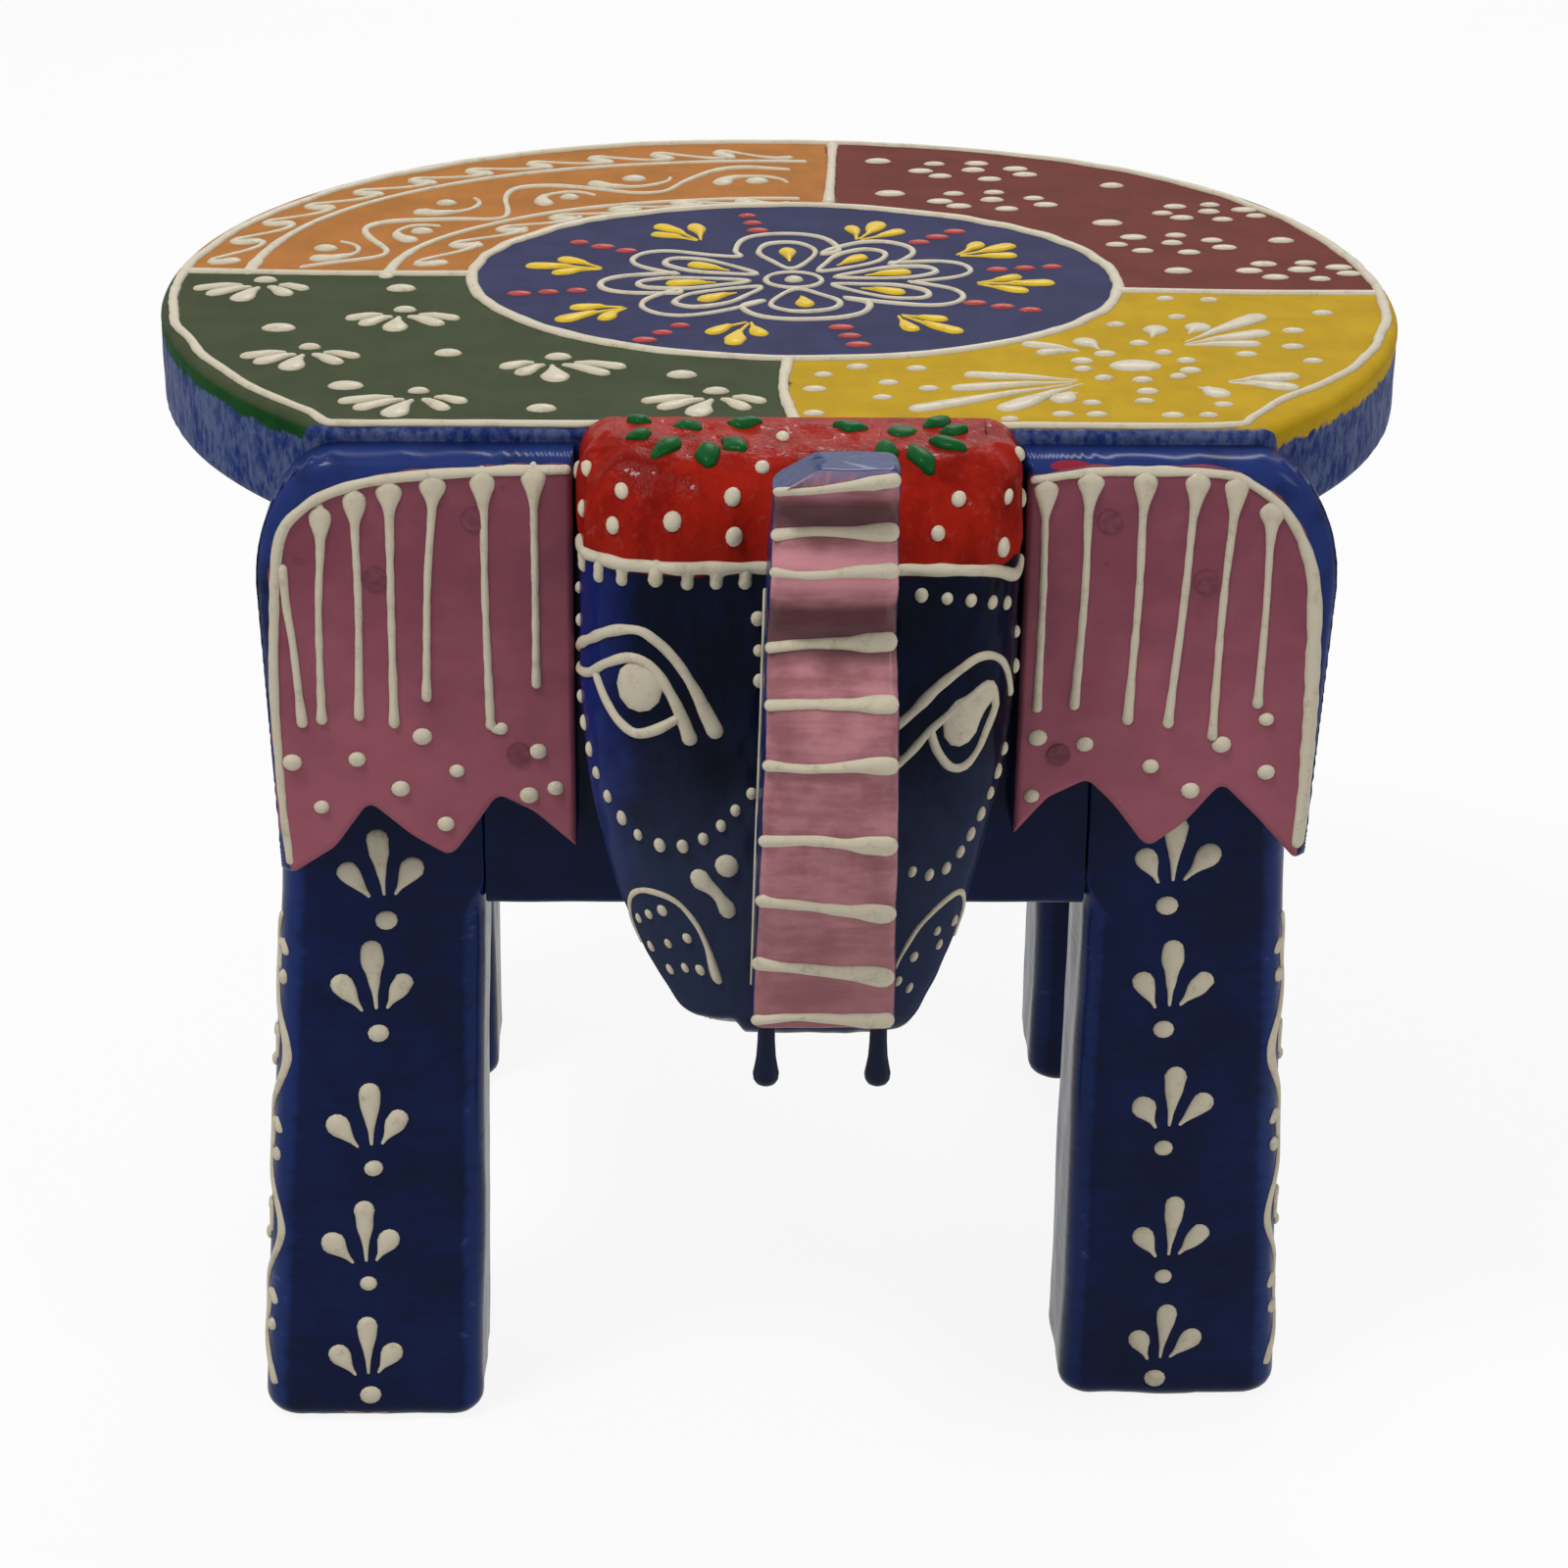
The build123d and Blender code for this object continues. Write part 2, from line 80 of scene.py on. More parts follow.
def ripple(points, size, seed):
    """Seven sine waves in fixed directions, each about size long, summed: a field from about -1 to 1."""
    rng = np.random.default_rng(seed)
    waves = rng.normal(size=(7, 3))
    waves *= 2 * np.pi / size * rng.uniform(0.6, 1.6, (7, 1)) / np.linalg.norm(waves, axis=1)[:, None]
    return np.sin(points @ waves.T + rng.uniform(0, 2 * np.pi, 7)).sum(axis=-1) / 4.0


def curve(knots, values, x):
    """A smooth curve through (knot, value) pairs: cubic Hermite pieces, each slope the neighbours' chord."""
    knots, values = np.asarray(knots, float), np.asarray(values, float)
    slopes = np.gradient(values, knots, axis=0)
    x = np.clip(x, knots[0], knots[-1])
    i = np.clip(np.searchsorted(knots, x, side="right") - 1, 0, len(knots) - 2)
    run = knots[i + 1] - knots[i]
    t = (x - knots[i]) / run
    return (
        values[i] * (1 + 2 * t) * (1 - t) ** 2
        + slopes[i] * run * t * (1 - t) ** 2
        + values[i + 1] * t * t * (3 - 2 * t)
        - slopes[i + 1] * run * t * t * (1 - t)
    )


def through(points, closed=False, steps=14):
    """A Catmull-Rom line through placed points: cubic pieces, each tangent half the neighbours' chord."""
    p = np.asarray(points, float)
    if closed:
        p = np.vstack([p[-1:], p, p[:2]])
    else:
        p = np.vstack([2 * p[:1] - p[1:2], p, 2 * p[-1:] - p[-2:-1]])
    t = np.linspace(0, 1, steps, endpoint=False)[None, :, None]
    a, b, c, d = (p[i : len(p) - 3 + i, None, :] for i in range(4))
    path = 0.5 * (2 * b + (c - a) * t + (2 * a - 5 * b + 4 * c - d) * t**2 + (3 * b - a - 3 * c + d) * t**3)
    path = path.reshape(-1, p.shape[1])
    return path if closed else np.vstack([path, p[-2]])


def spaced(path, step, closed=False):
    """The same path, resampled at an even step of its own length."""
    if closed:
        path = np.vstack([path, path[:1]])
    run = np.concatenate([[0], np.cumsum(np.linalg.norm(np.diff(path, axis=0), axis=1))])
    count = max(int(round(run[-1] / step)), 3)
    at = np.linspace(0, run[-1], count, endpoint=not closed)
    return np.stack([np.interp(at, run, path[:, k]) for k in range(path.shape[1])], axis=-1)


def stacked(loops, heights):
    """Flat loops (ring, corner, xy), each set at its own height."""
    return np.concatenate([loops, np.broadcast_to(heights[:, None, None], loops.shape[:2] + (1,))], -1)


def cells(rows, columns, round_rows=False, round_columns=False):
    """Quads between neighbours in a grid of points that are numbered row by row.

    Where it goes round, the last row or column joins the first."""
    i = np.arange(rows - (not round_rows))[:, None]
    j = np.arange(columns - (not round_columns))
    here, above, after = i * columns, (i + 1) % rows * columns, (j + 1) % columns
    return np.stack([here + j, here + after, above + after, above + j], -1).reshape(-1, 4)


class Surface:
    """A carved face: point(u, v) in millimetres, moved along its normal by cuts(point).

    u and v are lengths along the face. The cross product of their directions points out of the wood."""

    def __init__(self, point, cuts=None):
        self.point = point
        self.cuts = cuts or (lambda points: np.zeros(points.shape[:-1]))

    def normal(self, face, u, v):
        """The cross product of the central differences along u and v."""
        step = 0.05
        n = np.cross(face(u + step, v) - face(u - step, v), face(u, v + step) - face(u, v - step))
        return n / np.maximum(np.linalg.norm(n, axis=-1, keepdims=True), 1e-9)

    def carved(self, u, v):
        """The face with its cuts."""
        u, v = np.broadcast_arrays(np.asarray(u, float), np.asarray(v, float))
        p = self.point(u, v)
        return p + self.cuts(p)[..., None] * self.normal(self.point, u, v)

    def lifted(self, u, v, lift):
        """The carved face, raised by lift along its normal."""
        return self.carved(u, v) + np.asarray(lift)[..., None] * self.normal(self.carved, u, v)


class Shells:
    """Closed shells of points and faces, gathered into one mesh."""

    def __init__(self):
        self.points, self.quads, self.tris, self.values = [], [], [], {}
        self.count = 0

    def add(self, points, quads, tris, **values):
        """Adds shells, turned inside out if their signed volume is below zero."""
        corners = points[quads[:, [0, 1, 2, 0, 2, 3]].reshape(-1, 3)]
        corners = np.concatenate([corners, points[tris]])
        if np.einsum("ij,ij->", corners[:, 0], np.cross(corners[:, 1], corners[:, 2])) < 0:
            quads, tris = quads[:, ::-1], tris[:, ::-1]
        self.quads.append(quads + self.count)
        self.tris.append(tris + self.count)
        self.points.append(points)
        for name, value in values.items():
            self.values.setdefault(name, []).append(value)
        self.count += len(points)

    def add_rings(self, rings, **values):
        """Adds loops (shell, ring, corner, xyz), each joined to the next and the end ones closed."""
        if rings.ndim == 3:
            rings = rings[None]
        shells, n, m, _ = rings.shape
        j = np.arange(m)
        first = np.stack([np.full(m, n * m), (j + 1) % m, j], -1)
        last = np.stack([np.full(m, n * m + 1), (n - 1) * m + j, (n - 1) * m + (j + 1) % m], -1)
        ends = rings[:, [0, -1]].mean(axis=2)
        points = np.concatenate([rings.reshape(shells, n * m, 3), ends], axis=1)
        offsets = (np.arange(shells) * (n * m + 2))[:, None, None]
        spread = {}
        for name, value in values.items():
            value = value.reshape(shells, n, m)
            poles = value[:, [0, -1]].mean(axis=2)
            spread[name] = np.concatenate([value.reshape(shells, n * m), poles], axis=1).ravel()
        self.add(
            points.reshape(-1, 3),
            (cells(n, m, round_columns=True) + offsets).reshape(-1, 4),
            (np.concatenate([first, last]) + offsets).reshape(-1, 3),
            **spread,
        )

    def make(self, name, material, slot, replaces=()):
        """Turns the shells into one object that rides on the stool."""
        points, quads, tris = map(np.concatenate, (self.points, self.quads, self.tris))
        mesh = bpy.data.meshes.new(name)
        mesh.vertices.add(len(points))
        mesh.vertices.foreach_set("co", (points * MM).ravel())
        mesh.loops.add(quads.size + tris.size)
        mesh.loops.foreach_set("vertex_index", np.concatenate([quads.ravel(), tris.ravel()]))
        sizes = np.repeat([4, 3], [len(quads), len(tris)])
        mesh.polygons.add(len(sizes))
        mesh.polygons.foreach_set("loop_start", np.concatenate([[0], np.cumsum(sizes)[:-1]]))
        mesh.polygons.foreach_set("loop_total", sizes)
        mesh.polygons.foreach_set("use_smooth", np.ones(len(sizes), bool))
        mesh.update(calc_edges=True)
        for key, value in self.values.items():
            field = mesh.attributes.new(key, "FLOAT", "POINT")
            field.data.foreach_set("value", np.concatenate(value).astype(np.float32))
        mesh.materials.append(material)
        piece = bpy.data.objects.new(name, mesh)
        bpy.context.scene.collection.objects.link(piece)
        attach(piece, "root")
        if replaces:
            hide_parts(*replaces)
        return piece


def solid(rings, **values):
    """One closed shell from a stack of loops."""
    shells = Shells()
    shells.add_rings(rings, **values)
    return shells


def rounded_loops(x0, x1, y0, y1, radii, arc=7, side=12):
    """Rounded rectangles, one per entry: at each corner centre + r (cos a, sin a), joined by straight sides.

    Corners run (x1, y1), (x0, y1), (x0, y0), (x1, y0); radii gives one radius array for each."""
    turn = np.linspace(0, np.pi / 2, arc)
    corners = []
    for k, (x, y, sx, sy) in enumerate(((x1, y1, -1, -1), (x0, y1, 1, -1), (x0, y0, 1, 1), (x1, y0, -1, 1))):
        r = radii[k][:, None]
        angle = turn + k * np.pi / 2
        across, up = x[:, None] + r * (sx + np.cos(angle)), y[:, None] + r * (sy + np.sin(angle))
        corners.append(np.stack([across, up], -1))
    share = np.linspace(0, 1, side + 1)[1:-1][None, :, None]
    loops = []
    for k in range(4):
        start, end = corners[k][:, -1:], corners[(k + 1) % 4][:, :1]
        loops += [corners[k], start + (end - start) * share]
    return np.concatenate(loops, axis=1)


def end_inset(distance, radius):
    """How far a quarter round draws in at a distance d from the end: r - sqrt(r^2 - (r - d)^2)."""
    rest = np.clip(radius - distance, 0, radius)
    return radius - np.sqrt(radius**2 - rest**2)


def stations(low, high, step, radius_low, radius_high):
    """Heights from low to high, closer together over each rounded end."""
    arc = 1 - np.cos(np.linspace(0, np.pi / 2, 7)[:-1])
    body = np.linspace(low + radius_low, high - radius_high, int((high - low) / step))
    return np.concatenate([low + arc * radius_low, body, (high - arc * radius_high)[::-1]])


def displaced(rings, cuts):
    """Loops moved along their own normals by cuts(point), and those normals."""
    around = np.roll(rings, -1, axis=1) - np.roll(rings, 1, axis=1)
    out = np.cross(around, np.gradient(rings, axis=0))
    out /= np.maximum(np.linalg.norm(out, axis=-1, keepdims=True), 1e-9)
    return rings + out * cuts(rings)[..., None], out


def polar(radius, degrees, centre=(0.0, 0.0)):
    """centre + r (cos a, sin a)."""
    a = np.radians(degrees)
    return np.stack([centre[0] + radius * np.cos(a), centre[1] + radius * np.sin(a)], -1)


def ring_of(count):
    """Evenly spread angles in radians."""
    return np.arange(count) * 2 * np.pi / count


def turned(points, degrees, origin):
    """Points given along and across a direction, put in place from an origin."""
    points = np.asarray(points, float)
    along, across = polar(1.0, degrees), polar(1.0, degrees + 90)
    return np.asarray(origin, float) + points[..., :1] * along + points[..., 1:] * across


# ---- Raised paint: lines, dots and drops laid on a carved face ----

# Angles round a line's half-round section, which reaches a little into the wood at both sides
SECTION = np.linspace(-0.35, np.pi + 0.35, 8)
# Where the loops of a line's rounded ends lie, from its tip inwards
END_TURNS = np.radians((88, 62, 34))
SUNK = 0.04                     # how far a line is set into the wood
# Circles that make up a dot, as shares of its radius: the first is sunk in the wood
DOME = np.array([1.03, 0.96, 0.78, 0.45, 0.12])


def line(shells, face, points, widths, height=0.42, closed=False, step=0.8):
    """A raised line: a half-round of paint carried along a smooth path on a face.

    Across it runs (w cos a, h sin a). w goes through widths along the path; an open line has round ends."""
    path = spaced(through(points, closed), step, closed)
    share = np.linspace(0, 1, len(path), endpoint=not closed)
    w = np.interp(share, np.linspace(0, 1, len(widths)), widths)
    along = np.gradient(path, axis=0)
    if closed:
        along = np.roll(path, -1, axis=0) - np.roll(path, 1, axis=0)
    along /= np.maximum(np.linalg.norm(along, axis=1, keepdims=True), 1e-9)
    grow = np.ones(len(path))
    if not closed:
        out, small, ends = np.sin(END_TURNS)[:, None], np.cos(END_TURNS), len(END_TURNS)
        start, finish = path[0] - along[0] * w[0] * out, path[-1] + along[-1] * w[-1] * out[::-1]
        path = np.vstack([start, path, finish])
        along = np.pad(along, ((ends, ends), (0, 0)), mode="edge")
        w = np.pad(w, ends, mode="edge")
        grow = np.concatenate([small, grow, small[::-1]])
    flat = np.column_stack([path, np.full(len(path), 7.0)])
    half = w * grow * (1 + 0.13 * ripple(flat, 4.0, 5) * (grow == 1))
    high = np.minimum(height, 0.85 * w) * grow
    across = np.column_stack([-along[:, 1], along[:, 0]])
    u, v = (path[:, [k]] + across[:, [k]] * half[:, None] * np.cos(SECTION) for k in (0, 1))
    rings = face.lifted(u, v, high[:, None] * np.sin(SECTION) - SUNK)
    if closed:
        shells.add(rings.reshape(-1, 3), cells(*rings.shape[:2], True, True), np.zeros((0, 3), int))
    else:
        shells.add_rings(rings)


def dots(shells, face, centres, radius, height=0.55, seed=1, stretch=(1.0, 1.0)):
    """Round drops of paint: circles of share s of the radius, raised by height sqrt(1 - s^2)."""
    centres = np.atleast_2d(np.asarray(centres, float))
    rng = np.random.default_rng(seed)
    radii = radius * rng.uniform(0.86, 1.14, len(centres))
    turn = np.linspace(0, 2 * np.pi, 12, endpoint=False)
    spread = radii[:, None, None] * DOME[:, None] * (1 + 0.06 * np.sin(2 * turn + 1.3))
    u = centres[:, 0, None, None] + spread * np.cos(turn) * stretch[0]
    v = centres[:, 1, None, None] + spread * np.sin(turn) * stretch[1]
    lift = height * np.sqrt(np.maximum(1 - DOME**2, 0)) - 0.15 * (DOME > 1)
    shells.add_rings(face.lifted(u, v, np.broadcast_to(lift[:, None], u.shape)))


def drop(shells, face, tail, head, width, height=0.5):
    """A comma of paint: a line that starts as a thin tail and swells into a round head."""
    tail, head = np.asarray(tail, float), np.asarray(head, float)
    reach = max(np.linalg.norm(head - tail), 0.1)
    widths = (0.16, 0.3, 0.6 * width, width, width)
    line(shells, face, [tail, (tail + head) / 2, head], widths, height, step=reach / 6)


# ---- Materials ----


def srgb(red, green, blue):
    """A colour of 0 to 255 as linear light: c / 12.92, or ((c + 0.055) / 1.055)^2.4 above 0.04045."""
    c = np.array([red, green, blue]) / 255
    return tuple(np.where(c <= 0.04045, c / 12.92, ((c + 0.055) / 1.055) ** 2.4)) + (1.0,)


class Field:
    """A number that varies over a material, and adds, subtracts, multiplies and divides like one."""

    def __init__(self, paint, socket):
        self.paint, self.socket = paint, socket

    def joined(self, operation, first, second):
        """The field that one sum or product of two numbers or fields gives."""
        node = self.paint.node("ShaderNodeMath", {"operation": operation}, {0: first, 1: second})
        return Field(self.paint, node.outputs[0])

    def __add__(self, other):
        return self.joined("ADD", self, other)

    def __radd__(self, other):
        return self.joined("ADD", other, self)

    def __sub__(self, other):
        return self.joined("SUBTRACT", self, other)

    def __rsub__(self, other):
        return self.joined("SUBTRACT", other, self)

    def __mul__(self, other):
        return self.joined("MULTIPLY", self, other)

    def __rmul__(self, other):
        return self.joined("MULTIPLY", other, self)

    def __truediv__(self, other):
        return self.joined("DIVIDE", self, other)

    def __rtruediv__(self, other):
        return self.joined("DIVIDE", other, self)

    def step(self, low, high):
        """0 below low, 1 above high, smooth between."""
        node = self.paint.node(
            "ShaderNodeMapRange",
            {"interpolation_type": "SMOOTHSTEP", "clamp": True},
            {"Value": self, "From Min": low, "From Max": high, "To Min": 0.0, "To Max": 1.0},
        )
        return Field(self.paint, node.outputs["Result"])


class Finish:
    """A painted, varnished surface built from nodes."""

    def __init__(self, name):
        self.material = bpy.data.materials.new(name)
        self.material.use_nodes = True
        self.tree = self.material.node_tree
        self.tree.nodes.clear()
        self.shader = self.node("ShaderNodeBsdfPrincipled")
        output = self.node("ShaderNodeOutputMaterial")
        self.tree.links.new(self.shader.outputs[0], output.inputs[0])
        place = {0: self.node("ShaderNodeTexCoord").outputs["Object"], "Scale": 1 / MM}
        self.place = self.node("ShaderNodeVectorMath", {"operation": "SCALE"}, place).outputs[0]
        split = self.node("ShaderNodeSeparateXYZ", {}, {0: self.place})
        self.x, self.y, self.z = (Field(self, socket) for socket in split.outputs)

    def feed(self, socket, value):
        """Gives a socket a number, a colour, a field or a link."""
        if isinstance(value, Field):
            value = value.socket
        if isinstance(value, bpy.types.NodeSocket):
            self.tree.links.new(value, socket)
        else:
            socket.default_value = value

    def node(self, kind, settings=None, inputs=None):
        """Adds a node, sets its settings and then feeds its sockets."""
        node = self.tree.nodes.new(kind)
        for key, value in (settings or {}).items():
            setattr(node, key, value)
        for key, value in (inputs or {}).items():
            self.feed(node.inputs[key], value)
        return node

    def squeezed(self, x, y, z):
        """The place in millimetres, each axis multiplied by its own number."""
        factors = {0: self.place, 1: (x, y, z)}
        return self.node("ShaderNodeVectorMath", {"operation": "MULTIPLY"}, factors).outputs[0]

    def noise(self, size, detail=3.0, place=None, rough=0.55):
        """Cloudy noise from 0 to 1, with lumps about size millimetres long."""
        node = self.node(
            "ShaderNodeTexNoise",
            {"noise_dimensions": "3D"},
            {"Vector": place or self.place, "Scale": 1.0 / size, "Detail": detail, "Roughness": rough},
        )
        return Field(self, node.outputs["Fac"])

    def attribute(self, name):
        """A number stored on the piece's points."""
        node = self.node("ShaderNodeAttribute", {"attribute_type": "GEOMETRY", "attribute_name": name})
        return Field(self, node.outputs["Fac"])

    def mix(self, share, under, over):
        """The colour under, covered by the colour over where share is 1."""
        return self.node("ShaderNodeMix", {"data_type": "RGBA"}, {0: share, 6: under, 7: over}).outputs[2]

    def done(self, colour, roughness, relief=None, depth=0.1, coat=0.0, mirror=0.05):
        """Feeds the shader its colour, roughness and varnish, a plain mirror level and a bump of depth mm."""
        self.feed(self.shader.inputs["Base Color"], colour)
        self.feed(self.shader.inputs["Roughness"], roughness)
        self.feed(self.shader.inputs["Coat Weight"], coat)
        for key, value in (("Specular IOR Level", mirror), ("Coat IOR", 1.35), ("Coat Roughness", 0.09)):
            self.shader.inputs[key].default_value = value
        if relief is not None:
            bump = self.node("ShaderNodeBump", {}, {"Height": relief, "Distance": depth * MM})
            self.feed(self.shader.inputs["Normal"], bump.outputs[0])
        return self.material


# ---- Seat ----

BACK_BULGE = (3.0, 0.9)         # how much fuller than a circle the seat's back is, at right and left
SEAT_EDGE = 1.3                 # rounding of the seat's upper and lower edge


def seat_top(u, v):
    """The flat top: u across and v away from the face, both from the middle of the seat."""
    return np.stack([u, v + SEAT_Y, np.full_like(u, TOP_Z)], axis=-1)


def seat_outline(inset, count=900):
    """The rim: a circle cut straight across its front, its two corners sanded round, drawn in by inset.

    Behind the middle its radius grows by bulge sin^2(2 a), the bulge at the right unlike that at the left."""
    corner = np.arcsin((FRONT_Y - SEAT_Y) / SEAT_RADIUS)
    turn = np.linspace(corner, np.pi - corner, 600)
    bulge = np.where(turn < np.pi / 2, *BACK_BULGE) * np.sin(2 * turn) ** 2 * (np.sin(turn) > 0)
    arc = np.stack([np.cos(turn), np.sin(turn)], -1) * (SEAT_RADIUS + bulge)[:, None]
    chord = np.linspace(arc[-1], arc[0], 160)[1:-1]
    loop = spaced(np.vstack([arc, chord]), 2 * np.pi * SEAT_RADIUS / count, closed=True)
    sanded = sum(np.roll(loop, k, axis=0) for k in range(-3, 4)) / 7
    along = np.roll(sanded, -1, axis=0) - np.roll(sanded, 1, axis=0)
    along /= np.linalg.norm(along, axis=1, keepdims=True)
    return sanded + np.column_stack([-along[:, 1], along[:, 0]]) * inset


def seat_board(settings):
    """The seat: outlines stacked along its brushed side and round its edges, scaled in above and below."""
    turn = np.linspace(0, np.pi / 2, 6)
    insets = SEAT_EDGE * np.concatenate([1 - np.sin(turn), np.zeros(12), 1 - np.cos(turn[1:])])
    heights = np.concatenate([
        TOP_Z - SEAT_EDGE * (1 - np.cos(turn)),
        np.linspace(TOP_Z - SEAT_EDGE, SEAT_LOW[2] + SEAT_EDGE, 14)[1:-1],
        SEAT_LOW[2] + SEAT_EDGE * (1 - np.sin(turn[:-1])),
    ])
    loops = [seat_outline(inset) for inset in insets]
    # The rings on both flat faces are outlines shrunk to these shares, towards one point
    middle = np.array((0.0, SEAT_Y / 2 - 3))
    shares = (0.04, 0.3, 0.6, 0.85, 0.97)
    above = [middle + (loops[0] - middle) * share for share in shares]
    below = [middle + (loops[-1] - middle) * share for share in reversed(shares)]
    z = np.concatenate([np.full(len(shares), TOP_Z), heights, np.full(len(shares), SEAT_LOW[2])])
    rings = stacked(np.array(above + loops + below), z)
    side = smooth((TOP_Z - 0.6 - rings[..., 2]) / 1.5) * smooth((rings[..., 2] - SEAT_LOW[2] - 0.2) / 1.2)
    out = rings[..., :2] / np.linalg.norm(rings[..., :2], axis=-1, keepdims=True)
    strokes = ripple(rings * (1, 1, 0.22), 1.6, 3) * 0.07 + ripple(rings * (1, 1, 0.4), 5.0, 4) * 0.10
    rings[..., :2] += out * ((strokes - 0.17) * side * settings.carving)[..., None]
    rings[..., 1] += SEAT_Y
    solid(rings).make("seat_board", seat_finish(settings), "seat_paint", ["seat_disc"])


# Places of the raised paint on the seat: across and away from the face, or by bearing and radius
OVAL = (2.1, 4.8, 40.4, 34.3)   # the middle oval: its centre and its half axes
FLOWER = (1.8, 3.5)             # the flower's centre, from which its parts go by bearing and radius
# Bearing, reach and half width of each petal
PETALS = (
    (92, 13.2, 3.9), (50, 13.5, 3.0), (15, 14.3, 2.6), (-22, 13.6, 2.9), (-84, 10.6, 4.6), (-142, 14.0, 3.1),
    (-173, 15.0, 2.6), (-208, 13.8, 2.9),
)
# A petal's looped line, and its stretch of the scalloped line, as shares of its reach and half width
PETAL_LOOP = (
    (0, 0), (0.3, -0.6), (0.68, -0.92), (0.95, -0.52), (1.0, 0.1), (0.9, 0.7), (0.6, 0.95), (0.3, 0.58),
)
PETAL_SCALLOP = ((0.7, 1.7), (1.12, 1.4), (1.32, 0.6), (1.32, -0.6), (1.12, -1.4), (0.7, -1.7))
SPRAYS = (
    (122.8, 25.7), (168.8, 28.6), (210.5, 28.4), (252, 23.2), (64.7, 25), (28.7, 28.4), (-2.5, 27),
    (-50.3, 23.6),
)
SPRAY_DROPS = ((-24, 6.6, 1.1), (4, 8.8, 1.25), (27, 5.8, 1.05))     # bearing, reach and width
ROSE_ROWS = (
    (100, 27), (148.4, 28.3), (191, 31), (234.4, 28), (-75.7, 24.4), (-23.7, 27.6), (11.3, 30), (46.7, 28),
)


def seat_flower(cream, yellow, red, face):
    """Eight looped petals in a scalloped line, with yellow sprays and rows of red dots outside it."""
    line(cream, face, polar(3.5, np.degrees(ring_of(24)), FLOWER), (0.34, 0.42), closed=True, step=0.5)
    dots(cream, face, [FLOWER], 1.15)
    scallop = []
    for k, (angle, reach, wide) in enumerate(PETALS):
        after, further, _ = PETALS[(k + 1) % len(PETALS)]
        gap = (angle - after) % 360
        size, start = (0.92 * reach, wide), (0.38 * reach, 0)
        loop = turned(np.array(PETAL_LOOP) * size + start, angle, FLOWER)
        line(cream, face, loop, (0.42, 0.34, 0.4, 0.48, 0.4, 0.36), closed=True, step=0.5)
        drop(yellow, face, polar(0.66 * reach, angle, FLOWER), polar(reach, angle, FLOWER), 1.15)
        scallop += list(turned(np.array(PETAL_SCALLOP) * size + start, angle, FLOWER))
        scallop.append(polar(min(reach, further) * (0.94 if gap > 40 else 1.1), angle - gap / 2, FLOWER))
    line(cream, face, scallop, (0.4, 0.46, 0.36, 0.5, 0.38, 0.46, 0.36), closed=True, step=0.5)
    for k, (angle, reach) in enumerate(SPRAYS):
        root = polar(reach - 4.6, angle, FLOWER)
        for swing, far, width in SPRAY_DROPS:
            way = polar(far + 0.5 * np.sin(5 * k + swing), angle + swing * 1.1)
            path = (root + way * 0.12, root + way * 0.6 + polar(0.25, angle - 90), root + way)
            line(yellow, face, path, (0.2, 0.24, 0.3, 0.7 * width, width, width), 0.45, step=0.6)
    for k, (angle, reach) in enumerate(ROSE_ROWS):
        row = [polar(reach + step, angle, FLOWER) for step in (-3.6, 0, 3.6)]
        dots(red, face, row, 1.0, 0.35, seed=k, stretch=(1.35, 0.85))


# Each fan's dot, and how far its drops lean to one side
FANS = (
    ((-63.8, 2.0), -1.2), ((-45.7, -10.5), 0.2), ((-55.8, -25.9), -0.6), ((-42, -42.5), -1.3),
    ((-26.6, -29.3), 0.9), ((-8.3, -42), -1.2),
)
# Tail, head and half width of a fan's five drops
FAN_DROPS = (
    ((-3.0, -2.2), (-6.7, -3.7), 1.0), ((-1.7, -3.1), (-4.8, -6.0), 1.05), ((-0.6, -3.4), (-1.0, -7.8), 1.6),
    ((0.8, -3.0), (4.3, -5.9), 1.05), ((2.2, -2.1), (6.2, -3.5), 0.95),
)
FAN_LOOSE = ((-46.8, -1.3), (-60.2, -18.2), (-39.5, -28), (-50.4, -40.6), (-27.9, -48.6), (-12.2, -35.9))


def green_fans(cream, face):
    """Six fans, each a dot over five drops that spread towards the front, and loose dots."""
    for k, (base, lean) in enumerate(FANS):
        base = np.array(base)
        dots(cream, face, [base], 1.05, seed=k, stretch=(1.3, 0.9))
        size = 0.96 + 0.04 * np.sin(5.0 * k)
        for tail, head, wide in FAN_DROPS:
            tail, head = base + np.array(tail) * size, base + (np.array(head) + (lean, 0)) * size
            bulge = (0.55 * wide, 0.85 * wide, wide) if wide < 1.5 else (0.3 * wide, 0.6 * wide, wide)
            line(cream, face, (tail, (tail + head) / 2 + (0, 0.2), head), (0.35, *bulge, wide), 0.5, step=0.7)
    dots(cream, face, FAN_LOOSE, 1.4, stretch=(1.25, 0.95))


# The maroon field's flowers: their middles, and each one's drops about its middle
CLUSTERS = ((28.2, 58.4), (29.6, 42.6), (58.2, 37.2), (51.4, 21.6), (66.4, 9.4))
CLUSTER_DROPS = ((-7.8, -0.8), (-5.3, 3.2), (-4.8, -3.8), (0.9, 3.9), (1.9, -4.9), (6.0, 1.2), (7.2, -2.2))
CLUSTER_LOOSE = ((15.2, 62.9), (16, 45.5), (46.6, 50.4), (44, 31.2), (65.8, 23), (50.6, 8.5))


